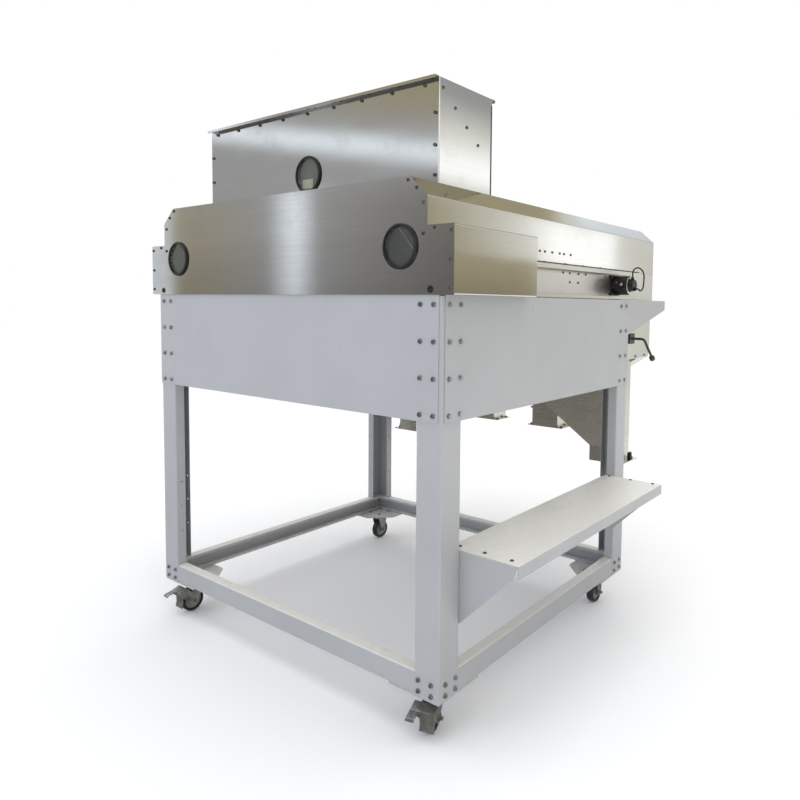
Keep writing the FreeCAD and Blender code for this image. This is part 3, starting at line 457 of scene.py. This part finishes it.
def hex_head(shape, place, flats, height, low):
    """A hexagon head or nut with chamfered corners, standing on a level."""
    made = bmesh.ops.create_cone(shape, cap_ends=True, segments=6, depth=height * MM,
                                 radius1=flats * MM / math.sqrt(3.0),
                                 radius2=flats * MM / math.sqrt(3.0),
                                 matrix=Matrix.Translation((0, 0, (low + height / 2) * MM)))
    corners = made["verts"]
    top = [v for v in corners if v.co.z > (low + height / 2) * MM]
    rim = set(e for v in top for e in v.link_edges if e.other_vert(v) in top)
    cut = bmesh.ops.bevel(shape, geom=list(rim), offset=0.11 * flats * MM, segments=2,
                          profile=0.5, affect="EDGES", material=-1)
    made_verts = set(corners) | set(cut["verts"])
    bmesh.ops.transform(shape, matrix=place, verts=[v for v in made_verts if v.is_valid])


def washer(shape, place, width, height):
    edge = 0.35
    turned(shape, place, [(0, 0), (width / 2, 0), (width / 2, height - edge),
                          (width / 2 - edge, height), (0, height)], 20, False)


def hex_bolts(name, places, direction, flats, head, washer_width, material=None, thread=0.0):
    """One mesh of equal hexagon bolts; each stands at its own turn, in a set order."""
    shape = bmesh.new()
    for index, point in enumerate(places):
        place = standing(point, direction, 0.9 * index)
        low = WASHER_HEIGHT
        washer(shape, place, washer_width, low)
        hex_head(shape, place, flats, head, low)
        if thread:
            radius = flats * 0.29
            turned(shape, place, [(0, low + head), (radius, low + head),
                                  (radius, low + head + thread - 1),
                                  (radius - 1, low + head + thread), (0, low + head + thread)], 12)
    add_piece(shape, name, "machine", material or bolt_zinc)


def dome_screws(name, places, direction, width, height):
    """One mesh of low domed heads with a socket in the crown."""
    shape = bmesh.new()
    half = width / 2
    outline = [(0, 0), (half, 0), (half, 0.18 * height), (0.86 * half, 0.62 * height),
               (0.62 * half, 0.9 * height), (0.36 * half, height), (0.3 * half, height),
               (0.26 * half, 0.45 * height), (0, 0.4 * height)]
    for index, point in enumerate(places):
        turned(shape, standing(point, direction), outline, 14)
    add_piece(shape, name, "machine", screw_dark)


def on_side(node, axis, far, x, y, z):
    """A place in mm whose coordinate along one axis is that side of a node."""
    place = at(x, y, z)
    place[axis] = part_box(node)[1 if far else 0][axis]
    return place


HALF_X = 790.0
HALF_Y = 690.0
WASHER_HEIGHT = 1.4
M8_FLATS = 13.0
M8_HEAD = 5.3
M8_WASHER = 16.0
PANEL_ROWS = (1391.0, 1278.0, 1165.0, 1052.0)
FRONT_COLUMNS = (759.0, 706.0)
SIDE_COLUMNS = (659.0, 603.0)
FOOT_ROWS = (168.0, 204.0)
FOOT_COLUMNS = (31.0, 83.0)


def frame_bolts():
    """Bolts of the four panels and of the post feet: M8 with washers."""
    for far, label in ((False, "front"), (True, "rear")):
        end = 1 if far else -1
        panel = [on_side(label + "_panel", 1, far, side * x, 0, z)
                 for side in (-1, 1) for x in FRONT_COLUMNS for z in PANEL_ROWS]
        feet = [on_side("post_" + label + "_left", 1, far, side * (HALF_X - along), 0, z)
                for side in (-1, 1) for along in FOOT_COLUMNS for z in FOOT_ROWS]
        hex_bolts(label + "_panel_bolts", panel, (0, end, 0), M8_FLATS, M8_HEAD, M8_WASHER)
        hex_bolts(label + "_foot_bolts", feet, (0, end, 0), M8_FLATS, M8_HEAD, M8_WASHER)
    for far, label in ((False, "left"), (True, "right")):
        side = 1 if far else -1
        panel = [on_side("side_panel_" + label, 0, far, 0, end * y, z)
                 for end in (-1, 1) for y in SIDE_COLUMNS for z in PANEL_ROWS]
        feet = [on_side("post_front_" + label, 0, far, 0, end * (HALF_Y - along), z)
                for end in (-1, 1) for along in FOOT_COLUMNS for z in FOOT_ROWS]
        hex_bolts(label + "_panel_bolts", panel, (side, 0, 0), M8_FLATS, M8_HEAD, M8_WASHER)
        hex_bolts(label + "_foot_bolts", feet, (side, 0, 0), M8_FLATS, M8_HEAD, M8_WASHER)


END_BOLTS = ((659.0, 1770.0), (693.0, 1744.0), (720.0, 1698.0), (721.0, 1605.0),
             (765.0, 1620.0), (828.0, 1610.0), (825.0, 1525.0), (825.0, 1443.0))
PLUG_X = 750.0
PLUG_Z = 1437.0


def end_panel_fittings():
    """Small screws round the stainless end panel and its two round cable plugs."""
    places = [on_side("end_panel", 1, False, side * x, 0, z)
              for side in (-1, 1) for x, z in END_BOLTS]
    dome_screws("end_panel_screws", places, (0, -1, 0), 12.0, 4.5)
    shape = bmesh.new()
    for side in (-1, 1):
        place = standing(on_side("end_panel", 1, False, side * PLUG_X, 0, PLUG_Z), (0, -1, 0))
        turned(shape, place, [(0, 0), (11.5, 0), (11.5, 1.2), (10.5, 2.4), (6.5, 2.8),
                              (5.5, 1.6), (0, 1.4)], 24)
    add_piece(shape, "end_panel_plugs", "machine", gasket_rubber)


RECESS_X = 737.0
UPPER_ROW_Z = 1598.0
UPPER_ROW = (-35.0, 4.0, 61.0, 121.0, 157.0, 214.0)
UNDER_RAIL_Z = 1524.0
UNDER_RAIL_ROW = (153.0, 210.0, 287.0, 354.0, 546.0, 608.0, 663.0)
LOWER_BOLTS = ((212.0, 1487.0), (285.0, 1487.0), (607.0, 1469.0), (613.0, 1451.0))


def belt_wall_screws():
    """Tie screws of the belt frame on the walls below the roof, alike on both sides."""
    for side in (-1, 1):
        places = [at(side * RECESS_X, y, UPPER_ROW_Z) for y in UPPER_ROW]
        places += [at(side * RECESS_X, y, UNDER_RAIL_Z) for y in UNDER_RAIL_ROW]
        places += [at(side * RECESS_X, y, z) for y, z in LOWER_BOLTS]
        label = "right" if side > 0 else "left"
        dome_screws("belt_wall_screws_" + label, places, (side, 0, 0), 10.0, 4.0)


HOPPER_TOP_ROW = 2110.0
HOPPER_FIRST = -590.0
HOPPER_PITCH = 146.1
HOPPER_TOP_COUNT = 9
HOPPER_EDGE_X = 625.0
HOPPER_EDGE_ROWS = (2016.0, 1912.0, 1815.0)
HOPPER_FACE_Y = -532.5
HOPPER_SCREW_LIFT = 3.0
HOPPER_SIDE_SCREWS = ((-506.0, 2099.0), (-440.0, 2048.0), (-375.0, 1998.0), (-308.0, 1950.0))


def hopper_screws():
    """Screws under the hopper's rim, down its edges and along its slope on both ends."""
    row = [(HOPPER_FIRST + index * HOPPER_PITCH, HOPPER_TOP_ROW)
           for index in range(HOPPER_TOP_COUNT)]
    edge = [(side * HOPPER_EDGE_X, z) for side in (-1, 1) for z in HOPPER_EDGE_ROWS]
    front_face = at(0, HOPPER_FACE_Y, 0).y
    front = []
    for x, z in row + edge:
        place = at(x, 0, z)
        place.y = front_face
        front.append(place)
    dome_screws("hopper_front_screws", front, (0, -1, 0), 12.0, 5.0)
    back = []
    for x, z in row + edge:
        place = at(x, 0, z)
        place.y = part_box("hopper_side_right")[1].y + HOPPER_SCREW_LIFT * MM
        back.append(place)
    dome_screws("hopper_back_screws", back, (0, 1, 0), 12.0, 5.0)
    for far, label in ((False, "left"), (True, "right")):
        places = [on_side("hopper_side_" + label, 0, far, 0, y, z)
                  for y, z in HOPPER_SIDE_SCREWS]
        dome_screws("hopper_end_screws_" + label, places, (1 if far else -1, 0, 0), 12.0, 4.5)


HOOD_BOLT_Z = 1144.0
HOOD_BOLT_ROW = (922.0, 1036.0)
OUTLET_BOLT_X = 722.5
OUTLET_BOLT_ROW = (800.0, 936.5)
OUTLET_FLANGE_TOP = 628.5
SPOUT_MIDDLE = (209.0, 1018.75)
SPOUT_BOLT_REACH = (93.5, 44.0)
SPOUT_FLANGE_TOP = 726.0


def hood_and_outlet_bolts():
    """Bolts on the hood's sides and on the flanges of the outer chutes and inner spouts."""
    for far, label in ((False, "left"), (True, "right")):
        side = 1 if far else -1
        hood = [on_side("discharge_hood", 0, far, 0, y, HOOD_BOLT_Z) for y in HOOD_BOLT_ROW]
        hex_bolts("hood_bolts_" + label, hood, (side, 0, 0), 10.0, 4.0, 12.0)
    flange = [at(side * OUTLET_BOLT_X, y, OUTLET_FLANGE_TOP)
              for side in (-1, 1) for y in OUTLET_BOLT_ROW]
    hex_bolts("outlet_flange_bolts", flange, (0, 0, 1), M8_FLATS, M8_HEAD + 2.0, M8_WASHER,
              thread=14.0, material=screw_dark)
    middle_x, middle_y = SPOUT_MIDDLE
    reach_x, reach_y = SPOUT_BOLT_REACH
    spout = [at(side * (middle_x + x), middle_y + y, SPOUT_FLANGE_TOP)
             for side in (-1, 1) for x in (-reach_x, reach_x) for y in (-reach_y, reach_y)]
    hex_bolts("spout_flange_bolts", spout, (0, 0, 1), M8_FLATS, M8_HEAD, M8_WASHER,
              material=screw_dark)


SHELF_SCREWS = ((769.0, -560.0), (866.0, -560.0), (967.0, -560.0),
                (769.0, 575.0), (871.0, 575.0), (974.0, 575.0))


def shelf_screws():
    places = [on_side("shelf", 2, True, x, y, 0) for x, y in SHELF_SCREWS]
    dome_screws("shelf_screws", places, (0, 0, 1), 13.0, 4.0)


CASTER_X = 697.0
CASTER_Y = 597.0
CASTER_BOLT_X = 32.0
CASTER_BOLT_Y = 40.0
CASTER_PLATE = 4.0


def caster_bolts():
    """M8 bolts that hold the caster plates: heads on the gussets, nuts below."""
    spots = [(sx * CASTER_X + bx * CASTER_BOLT_X, sy * CASTER_Y + by * CASTER_BOLT_Y)
             for sx in (-1, 1) for sy in (-1, 1) for bx in (-1, 1) for by in (-1, 1)]
    heads = [on_side("corner_gussets", 2, True, x, y, 0) for x, y in spots]
    hex_bolts("caster_bolt_heads", heads, (0, 0, 1), M8_FLATS, M8_HEAD, M8_WASHER)
    plate_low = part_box("corner_gussets")[0].z - CASTER_PLATE * MM
    nuts = []
    for x, y in spots:
        place = at(x, y, 0)
        place.z = plate_low
        nuts.append(place)
    hex_bolts("caster_bolt_nuts", nuts, (0, 0, -1), M8_FLATS, 6.0, M8_WASHER, thread=4.0)


def mirrored_bars(name, boxes, edge, material):
    """Bars that lie on both sides of the machine, given for the right side in mm."""
    shape = bmesh.new()
    for low, high in boxes:
        for side in (-1, 1):
            near, far = sorted((side * low[0], side * high[0]))
            bar(shape, at(near, *low[1:]), at(far, *high[1:]), edge)
    add_piece(shape, name, "machine", material)


RAIL_JOINTS = (-52.0, 111.0, 262.0, 427.0, 591.0)


def belt_rail_gap_shade():
    """Dark strips of painted shade in the gap along the top of the belt rails, with lumps at its
    joints, and down the hopper's rear edges.
    """
    boxes = [((766.0, -222.0, 1553.5), (770.8, 858.0, 1556.6))]
    boxes += [((764.0, y - 3.5, 1553.5), (771.4, y + 3.5, 1558.2)) for y in RAIL_JOINTS]
    mirrored_bars("belt_rail_gap_shade", boxes, 0.8, gap_shade_dark)
    mirrored_bars("hopper_rear_gap_shade", [((634.0, -228.0, 1784.0), (639.4, -224.0, 2106.0))],
                  0.8, gap_shade_dark)


DRIVE_SPOT = (737.0, 645.0, 1486.0)
DRIVE_HIGHLIGHT_RING = (28.5, 41.5)
DRIVE_END = 815.0
DRIVE_SCREWS = ((545.0, 1524.0), (573.0, 1522.0), (590.0, 1459.0), (589.0, 1448.0))


def drive_fittings():
    """The drum drive's bright end ring, which is painted highlight on the black end face, its two
    screws and the bolts of its seat.
    """
    x, y, z = DRIVE_SPOT
    shape = bmesh.new()
    inner, outer = DRIVE_HIGHLIGHT_RING
    # Painted highlight: a bright ring standing for the glint of light on the drive's black end face
    turned(shape, standing(at(DRIVE_END, y, z), (1, 0, 0)),
           [(inner, -0.5), (outer, -0.5), (outer, 0.9), (outer - 0.8, 1.6), (inner, 1.6),
            (inner, -0.5)], 40)
    for along, up, width in ((53.0, 4.0, 13.0), (30.0, 12.0, 5.0)):
        place = standing(at(x + along, y - 42.6, z + up), (0, -1, 0))
        half = width / 2
        turned(shape, place, [(0, -2), (half, -2), (half, 0.6), (0.8 * half, 1.8), (0, 2.2)], 16)
    add_piece(shape, "drive_highlight_ring_and_screws", "machine", alloy_and_highlight)
    corners = [at(x + 8.0, y + side * 38.0, z + up * 38.0) for side in (-1, 1) for up in (-1, 1)]
    dome_screws("drive_plate_screws", corners, (1, 0, 0), 9.0, 4.0)
    for side, label in ((-1, "left"), (1, "right")):
        places = [at(side * x, along, up) for along, up in DRIVE_SCREWS]
        dome_screws("drive_seat_screws_" + label, places, (side, 0, 0), 10.0, 4.0)


def outlet_clamps():
    """A dark clamp block on each outer chute's bolting flange."""
    mirrored_bars("outlet_clamps", [((714.0, 906.0, 628.5), (731.0, 926.0, 655.0)),
                                    ((717.0, 902.0, 655.0), (728.0, 930.0, 660.0))],
                  1.2, black_cast)


SIGHT_X = 628.0
SIGHT_Z = 1569.0
HOPPER_SIGHT_Z = 1880.0
SIGHT_SHADE_DISC_Y = -688.0
HOPPER_SHADE_DISC_Y = -515.0
SHADE_DISC_RADIUS = 66.0
SHADE_DISC_THICKNESS = 2.0


def slanted_strip(shape, start, end, width, depth):
    """A thin flat strip between two points on an upright plane across Y."""
    start, end = Vector(start), Vector(end)
    along = end - start
    lean = math.atan2(along.z, along.x)
    place = Matrix.Translation((start + end) / 2) @ Matrix.Rotation(-lean, 4, "Y")
    half = Vector((along.length / 2, depth * MM / 2, width * MM / 2))
    made = bmesh.ops.create_cube(shape, size=1.0, matrix=Matrix.Diagonal((*(2 * half), 1.0)))
    edges = set(e for v in made["verts"] for e in v.link_edges)
    cut = bmesh.ops.bevel(shape, geom=list(edges), offset=0.3 * MM, segments=1, profile=0.5,
                          affect="EDGES", material=-1)
    moved = set(made["verts"]) | set(cut["verts"])
    bmesh.ops.transform(shape, matrix=place, verts=[v for v in moved if v.is_valid])


def shade_disc(name, x, y, z, material):
    """A thin round disc just behind a pane: painted shade that stands for the dark inside seen
    through it.
    """
    shape = bmesh.new()
    rim, depth = SHADE_DISC_RADIUS, SHADE_DISC_THICKNESS
    turned(shape, standing(at(x, y, z), (0, 1, 0)),
           [(0, 0), (rim, 0), (rim, depth), (0, depth)], 32, False)
    add_piece(shape, name, "machine", material)


def behind_windows():
    """What shows through the panes: discs of painted shade, a scraper's edge and a pale plate of
    painted light.
    """
    # Painted shade: each disc stands for the dark inside seen through its pane, darker behind the
    # right pane than the left
    shade_disc("sight_shade_disc_right", SIGHT_X, SIGHT_SHADE_DISC_Y, SIGHT_Z, shade_disc_dark)
    shade_disc("sight_shade_disc_left", -SIGHT_X, SIGHT_SHADE_DISC_Y, SIGHT_Z, shade_disc_paler)
    shade_disc("hopper_shade_disc", 0.0, HOPPER_SHADE_DISC_Y, HOPPER_SIGHT_Z, grey_shade_disc_and_edge)
    shape = bmesh.new()
    slanted_strip(shape, at(SIGHT_X - 12.0, -690.0, SIGHT_Z + 58.0),
                  at(SIGHT_X + 54.0, -690.0, SIGHT_Z - 16.0), 4.0, 2.0)
    add_piece(shape, "sight_scraper_edge", "machine", grey_shade_disc_and_edge)
    # Painted light: a pale plate standing for a bright patch of light seen through the hopper pane
    shape = bmesh.new()
    bar(shape, at(-44.0, -520.0, HOPPER_SIGHT_Z - 50.0),
        at(14.0, -516.0, HOPPER_SIGHT_Z - 14.0), 1.0)
    add_piece(shape, "hopper_painted_light_patch", "machine", light_patch_paint)


frame_bolts()
belt_rail_gap_shade()
drive_fittings()
outlet_clamps()
behind_windows()
end_panel_fittings()
belt_wall_screws()
hopper_screws()
hood_and_outlet_bolts()
shelf_screws()
caster_bolts()


# Stage: pale floor, white surround, soft lamps and reflection flats

def lamp(name, place, target, size, power, tint="#ffffff"):
    data = bpy.data.lights.new(name, "AREA")
    data.shape = "RECTANGLE"
    data.size, data.size_y = size
    data.energy = power
    data.color = colour(tint)[:3]
    made = bpy.data.objects.new(name, data)
    bpy.context.scene.collection.objects.link(made)
    made.location = Vector(place)
    made.rotation_euler = (Vector(target) - Vector(place)).to_track_quat("-Z", "Y").to_euler()
    made.visible_glossy = False


def flat_sheet(name, corners, material):
    """One flat four-cornered stage sheet."""
    shape = bmesh.new()
    bmesh.ops.create_grid(shape, x_segments=1, y_segments=1, size=1.0)
    shape.verts.ensure_lookup_table()
    order = sorted(shape.verts, key=lambda v: (v.co.y, v.co.x))
    for vert, corner in zip(order, corners):
        vert.co = corner
    mesh = bpy.data.meshes.new(name)
    shape.to_mesh(mesh)
    shape.free()
    mesh.materials.append(material)
    sheet = bpy.data.objects.new(name, mesh)
    bpy.context.scene.collection.objects.link(sheet)
    return sheet


def reflection_card(name, corners, material):
    """A sheet that only shows in shiny surfaces; it lights and hides nothing."""
    card = flat_sheet(name, corners, material)
    card.visible_camera = False
    card.visible_diffuse = False
    card.visible_transmission = False
    card.visible_volume_scatter = False
    card.visible_shadow = False


SHEEN = 1.39
FLOOR_REACH = 40.0


def ramp_along(tree, place, way, low, high, stops):
    """A colour ramp over a stretch of places measured one way, from low to high in metres."""
    reach = add(tree, "ShaderNodeVectorMath", {"operation": "DOT_PRODUCT"}, {0: place, 1: way})
    return ramp(tree, spread(tree, reach.outputs["Value"], low, high, 0.0, 1.0), stops)


def glow(name, way, low, high, stops, shade=None):
    """A glowing card whose colour changes one way, a little brighter than its stops because
    polished steel gives back about seven tenths of the light. A shade is a second ramp
    that dims it another way."""
    material = bpy.data.materials.new(name)
    material.use_nodes = True
    tree = material.node_tree
    tree.nodes.clear()
    place = add(tree, "ShaderNodeTexCoord").outputs["Object"]
    tone = ramp_along(tree, place, way, low, high, stops)
    if shade:
        tone = mixed(tree, 1.0, tone, ramp_along(tree, place, *shade), "MULTIPLY")
    light = add(tree, "ShaderNodeEmission", None, {"Color": tone, "Strength": SHEEN})
    add(tree, "ShaderNodeOutputMaterial", None, {"Surface": light.outputs["Emission"]})
    return material


def make_floor():
    material = bpy.data.materials.new("pale_floor")
    material.use_nodes = True
    tree = material.node_tree
    tree.nodes.clear()
    paint = add(tree, "ShaderNodeBsdfDiffuse", None, {"Color": colour("#ffffff")})
    add(tree, "ShaderNodeOutputMaterial", None, {"Surface": paint.outputs["BSDF"]})
    far = FLOOR_REACH
    flat_sheet("studio_floor", [(-far, -far, 0), (far, -far, 0), (-far, far, 0), (far, far, 0)],
               material)


def make_world():
    """White for the camera and for shiny and clear surfaces, and a plain soft fill."""
    world = bpy.data.worlds.new("studio")
    bpy.context.scene.world = world
    world.use_nodes = True
    tree = world.node_tree
    tree.nodes.clear()
    path = add(tree, "ShaderNodeLightPath")
    seen = maths(tree, "MAXIMUM", path.outputs["Is Camera Ray"], path.outputs["Is Glossy Ray"])
    seen = maths(tree, "MAXIMUM", seen, path.outputs["Is Transmission Ray"])
    fill = add(tree, "ShaderNodeBackground", None, {"Color": colour("#ffffff"), "Strength": 1.0})
    white = add(tree, "ShaderNodeBackground", None, {"Color": colour("#ffffff"), "Strength": 1.0})
    both = add(tree, "ShaderNodeMixShader", None, {
        "Fac": seen, 1: fill.outputs["Background"], 2: white.outputs["Background"]})
    add(tree, "ShaderNodeOutputWorld", None, {"Surface": both.outputs["Shader"]})


def wall_card(name, axis, level, span, low, high, material):
    """An upright card across X at a Y level, or across Y at an X level."""
    corners = []
    for z in (low, high):
        for along in span:
            corners.append((along, level, z) if axis == "Y" else (level, along, z))
    reflection_card(name, corners, material)


make_floor()
make_world()
ALONG_X = (1.0, 0.0, 0.0)
ALONG_Y = (0.0, 1.0, 0.0)
UPWARD = (0.0, 0.0, 1.0)
TILTED = (0.2, 0.0, 1.0)

FRONT_CARD_Y = -4.2
RIGHT_CARD_X = 4.0

# Six plain tones for all the cards, chosen for a workshop's walls and daylight
WARM_WALL = "#908870"
GREY_WALL = "#909090"
DARK_WALL = "#686460"
PALE_WALL = "#c8c8c0"
DAYLIGHT = "#e8f0f8"
WHITE = "#ffffff"

DOORWAY = [(0.0, WARM_WALL), (0.16, GREY_WALL), (0.2, DAYLIGHT), (0.23, GREY_WALL),
           (0.4, DARK_WALL), (1.0, GREY_WALL)]
ROOF_LIGHT = [(0.0, GREY_WALL), (0.4, GREY_WALL), (0.55, DAYLIGHT), (0.7, GREY_WALL),
              (1.0, WARM_WALL)]
SIDE_LOW = [(0.0, GREY_WALL), (0.25, PALE_WALL), (0.5, WARM_WALL), (0.65, WARM_WALL),
            (0.75, PALE_WALL), (1.0, WHITE)]
SIDE_HIGH = [(0.0, GREY_WALL), (0.25, PALE_WALL), (0.5, WARM_WALL), (0.65, PALE_WALL),
             (0.75, WHITE), (1.0, WHITE)]
SIDE_SKY = [(0.0, WARM_WALL), (0.25, WHITE), (0.4, WHITE), (0.7, PALE_WALL), (1.0, GREY_WALL)]
CEILING = [(0.0, WARM_WALL), (0.45, WARM_WALL), (0.55, PALE_WALL), (0.65, WARM_WALL),
           (1.0, PALE_WALL)]
BEHIND = [(0.0, GREY_WALL), (0.4, DAYLIGHT), (0.7, GREY_WALL), (1.0, PALE_WALL)]
GROUND = [(0.0, DARK_WALL), (0.6, DARK_WALL), (1.0, GREY_WALL)]
DIM_BELOW = [(0.0, "#d8d8d8"), (1.0, WHITE)]

wall_card("front_low_card", "Y", FRONT_CARD_Y, (-13.0, 8.0), 0.3, 2.65,
          glow("doorway_wall", ALONG_X, -6.5, 6.0, DOORWAY, (UPWARD, 1.5, 2.4, DIM_BELOW)))
wall_card("front_high_card", "Y", FRONT_CARD_Y, (-13.0, 8.0), 2.65, 5.5,
          glow("roof_light_wall", TILTED, 1.7, 3.0, ROOF_LIGHT))
wall_card("right_low_card", "X", RIGHT_CARD_X, (-13.0, 14.0), 0.9, 1.95,
          glow("side_wall", ALONG_Y, -3.0, 9.0, SIDE_LOW, (UPWARD, 1.4, 1.8, DIM_BELOW)))
wall_card("right_middle_card", "X", RIGHT_CARD_X, (-13.0, 14.0), 1.95, 2.6,
          glow("side_windows", ALONG_Y, -3.0, 9.0, SIDE_HIGH))
wall_card("right_high_card", "X", RIGHT_CARD_X, (-13.0, 14.0), 2.6, 6.0,
          glow("side_sky", UPWARD, 2.6, 3.8, SIDE_SKY))
wall_card("rear_card", "Y", 7.5, (-13.0, 3.8), 0.3, 5.4,
          glow("rear_wall_glow", ALONG_X, -6.0, 3.8, BEHIND))
wall_card("left_card", "X", -6.5, (-13.0, 13.0), 0.3, 5.4,
          glow("left_wall_glow", ALONG_Y, -6.0, 6.0, BEHIND))
reflection_card("overhead_card", [(-9, -9, 6.4), (5, -9, 6.4), (-9, 1.4, 6.4), (5, 1.4, 6.4)],
                glow("overhead_glow", ALONG_X, -6.0, 5.0, BEHIND))
reflection_card("ceiling_card", [(-9, 1.5, 5.6), (5, 1.5, 5.6), (-9, 16, 5.6), (5, 16, 5.6)],
                glow("warm_ceiling", ALONG_Y, 4.0, 10.5, CEILING))
reflection_card("ground_card", [(-7, -8, 0.01), (1.2, -8, 0.01), (-7, 1.6, 0.01), (1.2, 1.6, 0.01)],
                glow("dark_ground", ALONG_Y, -8.0, 1.6, GROUND))
lamp("top_softbox", (0.8, -0.4, 4.6), (0, 0, 1), (3.6, 3.6), 45.0)
lamp("front_softbox", (-0.6, -5.0, 1.8), (0, 0, 1), (4.0, 3.0), 34.0, "#a6c8ff")

bpy.context.scene.view_settings.view_transform = "Standard"
